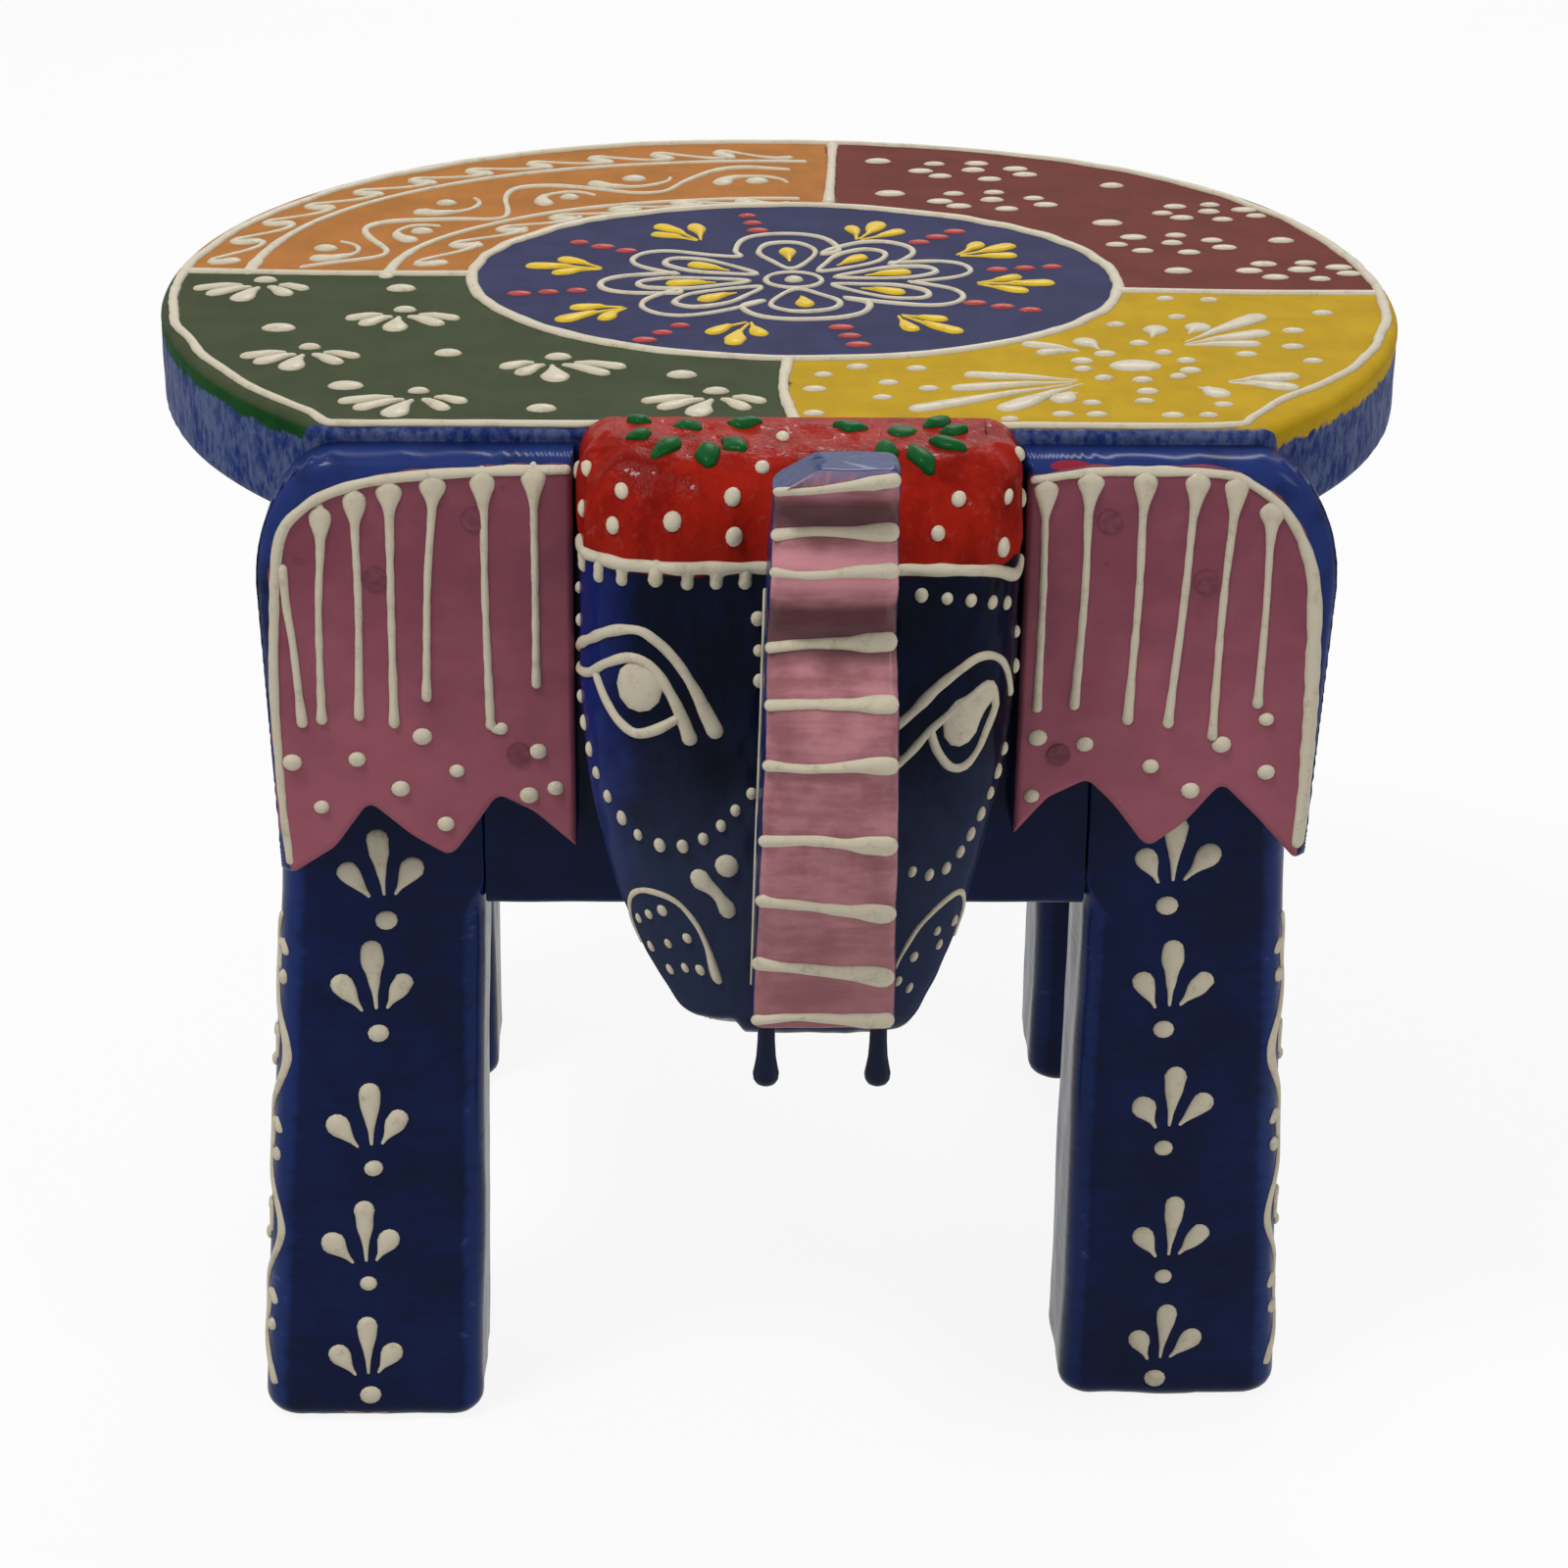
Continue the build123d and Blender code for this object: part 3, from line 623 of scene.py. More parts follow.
def maroon_clusters(cream, face):
    """Five flowers of seven short drops round a dot, and loose dots."""
    for k, base in enumerate(CLUSTERS):
        size = 0.84 if np.hypot(*base) > 65 else 0.94
        dots(cream, face, [base], 1.15, 0.4, seed=k, stretch=(1.35, 0.95))
        heads = np.array(CLUSTER_DROPS) + 0.3 * np.sin(np.arange(14).reshape(7, 2) * 2.7 + k)
        dots(cream, face, base + heads * size, 1.02, 0.35, seed=k + 9, stretch=(1.5, 1.0))
    dots(cream, face, CLUSTER_LOOSE, 1.3, 0.45, stretch=(1.35, 0.9))


GARDEN_MIDDLE = (40.7, -31.6)
GARDEN_RING = (
    (42.1, -22.7), (37.6, -27.0), (44.6, -26.4), (34.6, -29.8), (34.4, -33.0), (46.9, -29.5), (46.9, -33.3),
    (36.5, -36.4), (40.9, -37.0), (45.2, -35.6), (41.0, -41.3),
)
# Each spray: where its tails meet, and its drops' heads with their widths
GARDEN_SPRAYS = (
    ((46.4, -23.2), ((57.6, -11.8, 1.5), (57.2, -18.4, 1.3), (55.6, -22.8, 1.1))),
    ((35.0, -37.2), ((14.4, -48.0, 1.2), (24.6, -47.4, 1.5), (19.6, -40.4, 1.1), (21.4, -35.4, 1.1))),
    ((35.2, -25.6), ((29.2, -23.4, 1.2), (30.4, -26.6, 0.95))),
    ((50.0, -37.4), ((58.0, -35.4, 1.4), (57.4, -39.4, 1.3))),
)
GARDEN_BLOBS = ((44.6, -17.6), (49.8, -16.4), (31.4, -43.6), (48.6, -41.4), (36.0, -22.8))
SMALL_DOT_PITCH = (6.4, 5.8)    # of the yellow field's small dots, before each is jogged aside


def yellow_garden(cream, face):
    """A ring of dots round a centre, four sprays of drops, and small dots strewn where nothing else is."""
    dots(cream, face, [GARDEN_MIDDLE], 2.3, stretch=(1.3, 0.95))
    dots(cream, face, GARDEN_RING, 0.95, 0.45, stretch=(1.25, 1.0))
    taken = [GARDEN_MIDDLE, *GARDEN_RING, *GARDEN_BLOBS]
    for tail, heads in GARDEN_SPRAYS:
        for x, y, width in heads:
            tail, way = np.array(tail), np.array((x, y)) - tail
            drop(cream, face, tail + way * 0.12, (x, y), width)
            taken += [tail + way * share for share in (0.2, 0.4, 0.6, 0.8, 1.0)]
    for blob in GARDEN_BLOBS:
        way = np.array(blob) - GARDEN_MIDDLE
        way /= np.linalg.norm(way)
        drop(cream, face, blob - way * 2.4, blob + way * 0.6, 1.6)
    across, away = np.arange(3.5, 74, SMALL_DOT_PITCH[0]), np.arange(-51.5, -3, SMALL_DOT_PITCH[1])
    spots = np.stack(np.meshgrid(across, away, indexing="ij"), -1).reshape(-1, 2)
    spots = spots + np.random.default_rng(12).uniform(-1.9, 1.9, spots.shape)
    clear = to_line(spots, np.array(taken))[1] > 3.3
    off_oval = (((spots - OVAL[:2]) / (OVAL[2] + 3, OVAL[3] + 3)) ** 2).sum(-1) >= 1
    in_field = (np.hypot(*spots.T) < SEAT_RADIUS - 6.5) & (spots[:, 1] < -3.6) & (spots[:, 0] > 2.5)
    dots(cream, face, spots[clear & off_oval & in_field], 0.9, 0.4, stretch=(1.35, 0.95))


# The orange field, all by bearing and radius. The vine swings from one turning point to the next
VINE = (
    (172.4, 60.5), (166, 52.5), (152, 59.6), (137.5, 48.2), (127, 58), (108.5, 48), (95.5, 58.7), (87.5, 58),
)
VINE_WIDTHS = (0.4, 0.42, 0.5, 0.64, 0.4, 0.36, 0.6, 0.4, 0.38, 0.58, 0.36)
# An arch stands in each of its bends: bearing, radius of its feet, half its width in degrees, and its height
VINE_ARCHES = (
    (164.3, 59.9, 4.0, -4.3), (151.8, 51.4, 4.2, 3.8), (138.5, 58.4, 4.9, -4.3), (123.1, 49.5, 4.5, 3.7),
    (110.0, 55.6, 5.6, -4.0), (92.5, 50.8, 5.0, 3.4),
)
ARCH_WIDTHS = (1.35, 0.95, 0.44, 0.36, 0.40, 0.34, 0.3)
CURL_WIDTHS = (1.1, 1.0, 0.55, 0.36, 0.32, 0.32, 0.36, 0.42, 0.55)
# A curl's turns in degrees, and how far along its reach it has come at each of them
CURL_TURN = (-110, -70, -20, 30, 75, 120, 165, 195, 215)
CURL_RUN = (0.12, 0.02, 0.0, 0.16, 0.36, 0.58, 0.8, 0.94, 1.0)


def outer_band(bearing):
    """Radius of the outer band line at a bearing."""
    return curve((80, 105, 128, 150, 176), (62.6, 62.7, 65.0, 66.8, 66.6), bearing)


def inner_band(bearing):
    """Radius of the inner band line at a bearing."""
    return curve((80, 106, 137, 162, 180), (42.6, 42.7, 46.1, 49.2, 49.2), bearing)


def curl(bearing, radius, swing, reach):
    """A comma that turns back on itself and runs along its band, at radius + swing cos a."""
    run = reach * np.array(CURL_RUN)
    return polar(radius + swing * np.cos(np.radians(CURL_TURN)), bearing - np.degrees(run / radius))


def orange_bands(cream, face):
    """Two curved lines that part the field in three: a vine in the middle, linked curls on both sides."""
    bearings = np.linspace(175, 85.5, 14)
    for band in (outer_band, inner_band):
        line(cream, face, polar(band(bearings), bearings), (0.95, 0.5, 0.42, 0.46, 0.4, 0.42))
    bearing, radius = np.array(VINE).T
    swung = np.linspace(bearing[0], bearing[-1], 60)
    flat = np.column_stack([swung, 0 * swung, 0 * swung])
    swing = curve(bearing[::-1], radius[::-1], swung) + 0.25 * ripple(flat, 7.0, 15)
    line(cream, face, polar(swing, swung), VINE_WIDTHS, step=0.7)
    arc = np.radians(np.linspace(8, 172, 9))
    for k, (middle, foot, half, height) in enumerate(VINE_ARCHES):
        arch = polar(foot + height * np.sin(arc), middle + half * np.cos(arc))
        line(cream, face, arch, ARCH_WIDTHS, 0.5, step=0.5)
        dots(cream, face, [polar(foot + height * 0.1 + 0.5, middle - 0.4)], 1.2, seed=k, stretch=(1.2, 1.0))
    for k in range(11):
        at = 172.0 - k * 7.6
        reach = min(10.4, 1.1 * (at - 87))
        if reach > 4:
            line(cream, face, curl(at, outer_band(at - 4) + 3.6, 1.9, reach), CURL_WIDTHS, step=0.5)
    for k in range(7):
        at = 168.0 - k * 12.0
        reach = min(11.5, 0.7 * (at - 87))
        radius, swing = curve((85, 115, 140, 170), ((40.8, 1.0), (41.0, 1.1), (42.4, 1.8), (44.8, 2.0)), at)
        if reach > 4:
            line(cream, face, curl(at, radius, swing, reach), CURL_WIDTHS, step=0.5)


# The rim line strays from an even distance: bearing, spread in degrees, and millimetres outwards
RIM_WANDER = ((2, 24, 1.2), (180, 22, 1.2), (-38, 8, -2.2))
# The lines that part the four fields, from the oval outwards or inwards
FIELD_LINES = (
    ((-73.4, 6.0), (-56, 5.2), (-38.6, 5.4)),
    ((42.2, -0.5), (58, -1.2), (74.0, -1.1)),
    ((9.2, 72.4), (8.4, 56), (7.5, 41.0)),
    ((0.2, -29.6), (-0.6, -41), (0.4, -53.0)),
)
# Widths along the rim line, the oval and the field lines, as shares of the line width
RIM_WIDTHS = (1.0, 1.3, 1.0, 1.35, 1.1, 1.2, 1.0)
OVAL_WIDTHS = (1.35, 1.7, 1.2, 1.6, 1.3, 1.75, 1.25, 1.5, 1.35)
FIELD_WIDTHS = (1.5, 1.1, 1.25, 1.5)


def rim_line():
    """The outline drawn in and bent by RIM_WANDER in bell curves, its straight front moved forwards."""
    rim = seat_outline(2.6)
    bearing = np.degrees(np.arctan2(rim[:, 1], rim[:, 0]))
    for middle, spread, shift in RIM_WANDER:
        away = (bearing - middle + 180) % 360 - 180
        rim *= 1 + (shift / SEAT_RADIUS * np.exp(-((away / spread) ** 2)))[:, None]
    rim[:, 1] -= 1.5 * smooth((FRONT_Y - SEAT_Y + 4.4 - rim[:, 1]) / 1.6)
    rim *= 1 + 0.003 * ripple(np.column_stack([rim, rim[:, 0]]), 14, 9)[:, None]
    return rim[::4]


def oval_line():
    """The oval, with slow and quick ripples."""
    oval = polar(1.0, np.degrees(ring_of(72))) * OVAL[2:] + OVAL[:2]
    flat = np.column_stack([oval, oval[:, 0]])
    return oval * (1 + (0.006 * ripple(flat, 16, 8) + 0.005 * ripple(flat, 5, 18))[:, None])


def seat_relief(settings):
    """The raised lines, dots and drops on the seat, in cream, yellow and red."""
    face = Surface(seat_top)
    cream, yellow, red = Shells(), Shells(), Shells()
    half = settings.line_width / MM / 2
    line(cream, face, rim_line(), half * np.array(RIM_WIDTHS), 0.5, closed=True, step=1.0)
    line(cream, face, oval_line(), half * np.array(OVAL_WIDTHS), 0.5, closed=True)
    for path in FIELD_LINES:
        line(cream, face, path, half * np.array(FIELD_WIDTHS), 0.5)
    seat_flower(cream, yellow, red, face)
    green_fans(cream, face)
    maroon_clusters(cream, face)
    yellow_garden(cream, face)
    orange_bands(cream, face)
    cream.make("seat_cream_lines", relief_finish("cream lines", settings.cream), "seat_paint")
    yellow.make("seat_yellow_drops", relief_finish("yellow drops", settings.yellow), "seat_paint")
    red.make("seat_red_dots", relief_finish("red dots", settings.rose), "seat_paint")


# ---- Legs, aprons and rails ----

APRON_LOW, APRON_HIGH = span("front_apron")
REAR_HIGH = span("rear_apron")[1]
LEG_TOP = SEAT_LOW[2]
APRON_BOTTOM = APRON_LOW[2]
LEG_WIDTH = 22.0
LEG_DEPTH = 20.0
LEG_SPLAY = 5.3                 # how much wider a leg is at its sole than at its top, on the outside
LEG_CORNER = 4.6                # rounding of its outer corners
LEG_INNER_CORNER = (0.4, 3.4)   # rounding of its inner corners beside the boards, and how much is added below
SOLE_ROUND = 2.6
FOOT_LEAN = {"front_left_leg": (-1.3, -4.2)}    # how far that foot stands out and forward
# Paint chipped off the front left sole: its middle, half its width and its height
FOOT_CHIP = (-50.5, 2.6, 1.2)
VINE_FORWARD = 6.9              # how far a front leg's vine stands before the middle of the side
# Each fan's place on a leg's front: across from the middle, and up
LEG_FANS = {
    "front_left_leg": ((0.6, 66.6), (-0.1, 52.2), (-0.4, 34.6), (-0.8, 19.1), (-0.3, 3.9)),
    "front_right_leg": ((-2.3, 68.5), (-2.2, 52.2), (-1.7, 36.0), (-1.2, 18.1), (-1.8, 3.4)),
}
REAR_FANS = ((0.0, 66.0), (0.3, 50.5), (-0.2, 34.5), (0.2, 18.5), (0.0, 3.2))


def leg_sides(name, z):
    """A leg's inner, outer, front and back planes at height z: the outer one splays, the foot may lean."""
    side = -1 if "left" in name else 1
    rear = name.startswith("rear")
    inner = REAR_HIGH[0] if rear else APRON_HIGH[0]
    front = REAR_HIGH[1] - LEG_DEPTH if rear else FRONT_Y
    lean_x, lean_y = FOOT_LEAN.get(name, (0.0, 0.0))
    lean = np.clip(1 - z / APRON_BOTTOM, 0, 1)
    x_in = side * inner + lean_x * lean
    x_out = side * (inner + LEG_WIDTH + LEG_SPLAY * (1 - z / LEG_TOP)) + lean_x * lean
    return side, x_in, x_out, front + lean_y * lean, front + LEG_DEPTH + lean_y * lean


def leg_cuts(points):
    """Uneven sanding: slow waves, and shallow flats along the leg."""
    waves, flats = ripple(points * (1, 1, 0.4), 9.0, 21), ripple(points * (1, 1, 0.25), 2.6, 22)
    return waves * 0.12 + flats * 0.035 - 0.10


def leg_face(name, which):
    """One flat side of a leg as a surface: u across it from its middle line, v the height."""

    def point(u, v):
        side, x_in, x_out, y_front, y_back = leg_sides(name, v)
        turned_in = end_inset(LEG_DEPTH / 2 + u, LEG_CORNER) + end_inset(LEG_DEPTH / 2 - u, LEG_CORNER)
        if which == "front":
            return np.stack([(x_in + x_out) / 2 + u, y_front, v], -1)
        if which == "back":
            return np.stack([(x_in + x_out) / 2 - u, y_back, v], -1)
        return np.stack([x_out - side * turned_in, (y_front + y_back) / 2 + side * u, v], -1)

    return Surface(point, leg_cuts)


def leg(name):
    """A splayed post: rounded rectangles stacked from sole to seat, inner corners square above the apron."""
    z = stations(0.0, LEG_TOP, 1.1, SOLE_ROUND, 0.2)
    side, x_in, x_out, y_front, y_back = leg_sides(name, z)
    inset = end_inset(z, SOLE_ROUND)
    low, high = np.minimum(x_in, x_out) + inset, np.maximum(x_in, x_out) - inset
    outer = np.full_like(z, LEG_CORNER) - inset * 0.8
    square, added = LEG_INNER_CORNER
    inner = np.maximum(square + added * smooth((APRON_BOTTOM + 3.5 - z) / 5.0) - inset * 0.6, square)
    radii = (outer, inner, inner, outer) if side > 0 else (inner, outer, outer, inner)
    loops = rounded_loops(low, high, y_front + inset, y_back - inset, radii, arc=9, side=14)
    rings, out = displaced(stacked(loops, z), leg_cuts)
    # The edge value is 1 where the surface turns round an outer corner. The finish paints a lighter blue
    # there, partly paint and partly a painted highlight.
    return solid(rings, edge=smooth(5.2 * (out[..., 0] * out[..., 1]) ** 2))


def beam(low, high, axis):
    """A straight board between two corners: rounded rectangles carried along one axis."""
    a, b = [k for k in range(3) if k != axis]
    run = stations(low[axis], high[axis], 1.4, 0.3, 0.3)
    inset = end_inset(np.minimum(run - low[axis], high[axis] - run), 0.3)
    radii = (np.full_like(run, 1.1),) * 4
    sides = (low[a] + inset, high[a] - inset, low[b] + inset, high[b] - inset)
    loops = rounded_loops(*sides, radii, arc=4, side=26)
    rings = stacked(loops, run)[..., np.argsort((a, b, axis))]
    return displaced(rings, lambda p: ripple(p * (0.3, 1, 1), 3.0, 31) * 0.05 - 0.06)[0]


def leg_fan(shells, face, place, lean, size, seed):
    """Three fat drops that point down at a dot, the middle one upright and higher than the other two."""
    jog = np.random.default_rng(seed).uniform(-0.25, 0.25, (3, 2))
    heads = np.array(((-3.7, 6.2), (0.0, 10.7), (3.7, 6.6))) * size + jog + (lean, 0)
    roots = np.array(((-1.7, 3.1), (0.1, 3.4), (1.5, 3.5))) * size + (0.5 * lean, 0)
    for head, root, wide in zip(heads, roots, (1.5, 1.4, 1.45)):
        widths = np.array((0.15, 0.25, 0.55, 0.9, 1.0)) * wide * size
        line(shells, face, (root + place, head + place), widths, 0.55, step=0.6)
    dots(shells, face, [place], 1.25 * size, seed=seed)


def leg_vine(shells, face, top, middle, ahead, seed):
    """An S-shaped line down a leg's side, a curl and a dot in each bend. If ahead is 1, u runs forwards."""
    bend = 11.5
    v = np.linspace(top, 5, 40)
    swing = 1.9 * np.sin((top - v) / bend * np.pi)
    line(shells, face, np.column_stack([middle - ahead * swing, v]), (0.45, 0.55, 0.42, 0.52))
    for k, height in enumerate(np.arange(top - bend / 2, 8, -bend)):
        side = ahead if k % 2 == 0 else -ahead
        hook = np.array(((0.7, 1.6), (0.2, 2.6), (-0.4, 1.8), (-0.5, -0.8))) * (side, 1)
        line(shells, face, hook + (middle + side * 0.5, height), (0.55, 0.5, 0.45, 0.4), step=0.5)
        dots(shells, face, [(middle + side, height - 1.8)], 0.8, seed=seed + k, stretch=(0.7, 1.15))


def stool_frame(settings):
    """Four legs, two aprons and two side rails in blue, with fans and vines of raised cream paint."""
    blue = blue_finish(settings)
    cream = relief_finish("cream on blue", settings.cream)
    for name in ("front_left_leg", "front_right_leg", "rear_left_leg", "rear_right_leg"):
        leg(name).make(name + "_post", blue, "blue_paint", [name])
        relief = Shells()
        rear = name.startswith("rear")
        ahead, lean = (1, -0.8) if "left" in name else (-1, 1.0)
        face = leg_face(name, "back" if rear else "front")
        for k, place in enumerate(LEG_FANS.get(name, REAR_FANS)):
            leg_fan(relief, face, place, lean, 0.98 - 0.02 * k, seed=k + (7 if rear else 0))
        middle = 0 if rear else ahead * VINE_FORWARD
        leg_vine(relief, leg_face(name, "side"), 66.0, middle, ahead, seed=len(name))
        relief.make(name + "_cream", cream, "blue_paint")
    for name, axis in (("front_apron", 0), ("rear_apron", 0), ("left_side_rail", 1), ("right_side_rail", 1)):
        solid(beam(*span(name), axis)).make(name + "_board", blue, "blue_paint", [name])


# ---- Ears ----

EAR_Y = span("left_ear")[0][1]
EAR_CORNER = (9.5, 15.0)        # the quarter ellipse between an ear's top and its outer side
# The lower edge of each ear, from its inner tip to its outer tip, above the floor
LEFT_EDGE = (
    (-24.3, 78.9), (-29.2, 83.2), (-33.3, 85.2), (-36.2, 81.0), (-39.0, 77.4), (-43.4, 80.0), (-48.3, 84.3),
    (-52.6, 78.6), (-57.6, 75.5),
)
RIGHT_EDGE = (
    (25.6, 80.4), (29.6, 84.9), (34.2, 87.2), (37.5, 84.0), (41.7, 78.6), (46.0, 81.8), (49.9, 86.8),
    (54.4, 82.6), (59.4, 77.4),
)
# The cream line that bounds the pink, from the inner end of the top round to the outer tip
EAR_LINES = {
    "left": (
        (-24.8, 124.2), (-32.7, 124.0), (-42.9, 123.3), (-49.2, 122.0), (-53.6, 119.7), (-56.4, 115.8),
        (-57.4, 105.8), (-57.7, 95.9), (-57.3, 83.4), (-56.8, 77.0),
    ),
    "right": (
        (26.4, 123.3), (34.3, 124.2), (46.8, 124.0), (50.8, 122.6), (54.4, 119.6), (56.9, 115.2),
        (58.2, 110.0), (58.7, 99.2), (58.8, 87.2), (58.5, 79.6),
    ),
}
EAR_LINE_WIDTHS = {
    "left": (0.5, 0.55, 0.62, 0.6, 0.62, 0.6, 0.55, 0.5, 0.5),
    "right": (0.45, 0.5, 0.5, 0.5, 0.72, 0.95, 0.95, 0.85, 0.8),
}
# Each stripe's upper and lower end
EAR_STRIPES = {
    "left": (
        (-56.2, 113.0, -54.7, 94.2), (-51.8, 119.6, -52.5, 94.6), (-48.0, 121.6, -48.3, 95.1),
        (-44.2, 122.6, -44.4, 94.2), (-39.4, 123.4, -40.7, 97.4), (-34.0, 123.9, -33.6, 94.0),
        (-28.4, 124.3, -28.4, 99.1),
    ),
    "right": (
        (27.8, 123.0, 27.8, 96.3), (32.7, 123.9, 32.0, 96.6), (38.7, 124.0, 38.1, 94.8),
        (44.5, 124.0, 42.7, 94.4), (48.8, 123.4, 47.8, 92.9), (52.9, 120.6, 52.7, 96.8),
    ),
}
EAR_DOTS = {
    "left": (
        (-56, 89.4), (-48.7, 89.8), (-41.3, 92.6), (-37.5, 88.4), (-28.3, 90.8), (-26.4, 86.3),
        (-43.9, 86.2), (-52.9, 83.9), (-29.4, 85.4), (-38.9, 81.8),
    ),
    "right": (
        (28.0, 92.6), (33.4, 91.8), (48.9, 91.8), (53.8, 94.9), (54.2, 88.4), (41, 89.1),
        (45.7, 86.1), (27.6, 85.4),
    ),
}


def ear_span(side_name):
    """Which way the ear reaches along X, its inner and outer ends, and its top."""
    low, high = span(f"{side_name}_ear")
    return (-1, high[0], low[0], high[2]) if side_name == "left" else (1, low[0], high[0], high[2])


def to_line(points, path):
    """From each point of a plane to the closest point of a path: which one it is, and the distance."""
    distance = np.sqrt(((points[..., None, :] - path) ** 2).sum(-1))
    return distance.argmin(-1), distance.min(-1)


def inside(points, path):
    """How far points of a plane lie to the left of a path, below zero to its right."""
    closest, distance = to_line(points, path)
    way = np.gradient(path, axis=0)[closest]
    offset = points - path[closest]
    return distance * np.sign(way[..., 0] * offset[..., 1] - way[..., 1] * offset[..., 0])


def bunched(count, share):
    """Numbers from 0 to 1, closer together at both ends: t - k sin(2 pi t) / (2 pi)."""
    t = np.linspace(0, 1, count)
    return t - share * np.sin(2 * np.pi * t) / (2 * np.pi)


def ear_face(side_name):
    """The front of an ear: u along X, v the height, rounding away towards its side and top."""
    side, inner, outer, top = ear_span(side_name)
    turn = np.linspace(0, np.pi / 2, 30)
    corner = np.column_stack([
        outer - side * EAR_CORNER[0] * (1 - np.cos(turn)), top - EAR_CORNER[1] * (1 - np.sin(turn)),
    ])
    foot = (LEFT_EDGE if side < 0 else RIGHT_EDGE)[-1]
    outline = spaced(np.vstack([foot, (outer - side * 0.4, top - 30), corner, (inner, top)]), 1.0)

    def point(u, v):
        away = to_line(np.stack([u, v], -1), outline)[1]
        return np.stack([u, EAR_Y + end_inset(away, 2.2), v], -1)

    return Surface(point, ear_cuts)


def ear_cuts(points):
    """A hand-sanded board: slow waves under a tenth of a millimetre deep."""
    return ripple(points, 7.0, 41) * 0.05 - 0.07


def ear_board(side_name):
    """A board between a notched lower edge and a level top that turns down in a quarter ellipse.

    a runs across and b up; the front rounds off by the distance to the outline."""
    side, inner, outer, high = ear_span(side_name)
    tips = np.array(LEFT_EDGE if side < 0 else RIGHT_EDGE)
    a, b = bunched(132, 0.62), bunched(96, 0.72)
    x = inner + (outer - inner) * a
    past = np.clip(1 - np.abs(outer - x) / EAR_CORNER[0], 0, 1)
    top = high - EAR_CORNER[1] * (1 - np.sqrt(1 - past**2))
    edge = np.interp(np.abs(x - inner), np.abs(tips[:, 0] - inner), tips[:, 1])
    edge = np.convolve(np.pad(edge, 2, mode="edge"), np.ones(5) / 5, mode="valid")
    z = edge + (top - edge) * b[:, None]
    slant = 1.4 * np.clip((high - EAR_CORNER[1] - z) / 34.0, 0, 1)
    flat = np.stack([x - side * slant * a, z], -1)
    to_sawn = to_line(flat, np.concatenate([flat[0], flat[:, 0]]))[1]
    to_round = to_line(flat, spaced(np.concatenate([flat[:, -1], flat[-1, ::-1]]), 0.4))[1]
    front = np.minimum(EAR_Y + end_inset(to_sawn, 0.9) + end_inset(to_round, 2.2), EAR_Y + 2.6)
    points = np.stack([flat[..., 0], front, z], -1)
    points[..., 1] -= ear_cuts(points) * smooth((to_round - 0.3) / 1.5)
    back = np.stack([flat[..., 0], np.full_like(z, FRONT_Y - SEAM), z], -1)
    path = spaced(through(EAR_LINES[side_name]), 0.5)
    waver = 0.25 * ripple(points, 5.0, 43)
    pink = smooth((0.8 - side * inside(flat, path) + waver) / 0.4) * smooth((to_sawn + 0.15) / 0.4)
    return points, back, pink


def ear_solid(side_name):
    """The ear's front and back grids, joined round their outline into one closed shell."""
    front, back, pink = ear_board(side_name)
    rows, columns = front.shape[:2]
    size = rows * columns
    rim = np.concatenate([
        np.arange(columns), (np.arange(1, rows) + 1) * columns - 1,
        (rows - 1) * columns + np.arange(columns - 2, -1, -1), np.arange(rows - 2, 0, -1) * columns,
    ])
    after = np.roll(rim, -1)
    grid = cells(rows, columns)
    wall = np.stack([rim, rim + size, after + size, after], -1)
    shells = Shells()
    shells.add(
        np.concatenate([front.reshape(-1, 3), back.reshape(-1, 3)]),
        np.concatenate([grid, grid[:, ::-1] + size, wall]), np.zeros((0, 3), int),
        front=np.concatenate([pink.ravel(), np.zeros(size)]),
    )
    return shells


# Widths along a stripe, and along the blob that it has run down from
STRIPE_WIDTHS = (0.6, 0.52, 0.46, 0.43, 0.42, 0.43, 0.42, 0.44, 0.46, 0.5, 0.62)
BLOB_WIDTHS = (0.45, 1.35, 1.45, 1.3, 1.0, 0.78, 0.62, 0.52, 0.46)
LEFT_SMEAR = ((-33.6, 94.1), (-33.1, 93.5), (-32.4, 93.6))      # where a left stripe's end has run aside


def ears(settings):
    """Two pink boards with blue edges, outlined and striped in cream that has run down from the top."""
    paint = ear_finish(settings)
    cream = relief_finish("cream on pink", settings.cream)
    for side_name in ("left", "right"):
        ear_solid(side_name).make(f"{side_name}_ear_board", paint, "pink_paint", [f"{side_name}_ear"])
        relief = Shells()
        face = ear_face(side_name)
        line(relief, face, EAR_LINES[side_name], EAR_LINE_WIDTHS[side_name], 0.5)
        for x, z, x_end, z_end in EAR_STRIPES[side_name]:
            run = x_end - x
            half_way = ((x + x_end) / 2 + 0.25 * np.sin(x), (z + z_end) / 2)
            path = ((x, z - 0.4), (x + run * 0.2, z - 5), half_way, (x_end, z_end))
            line(relief, face, path, STRIPE_WIDTHS, 0.5)
            if abs(x) < 55:
                blob = ((x, z + 0.2), (x + run * 0.05, z - 2.0), (x + run * 0.16, z - 4.8))
                line(relief, face, blob, BLOB_WIDTHS, 0.55, step=0.4)
        dots(relief, face, EAR_DOTS[side_name], 0.95, seed=4)
        if side_name == "left":
            line(relief, face, LEFT_SMEAR, (0.5, 0.5, 0.75), step=0.3)
        relief.make(f"{side_name}_ear_cream", cream, "pink_paint")


# ---- Head ----

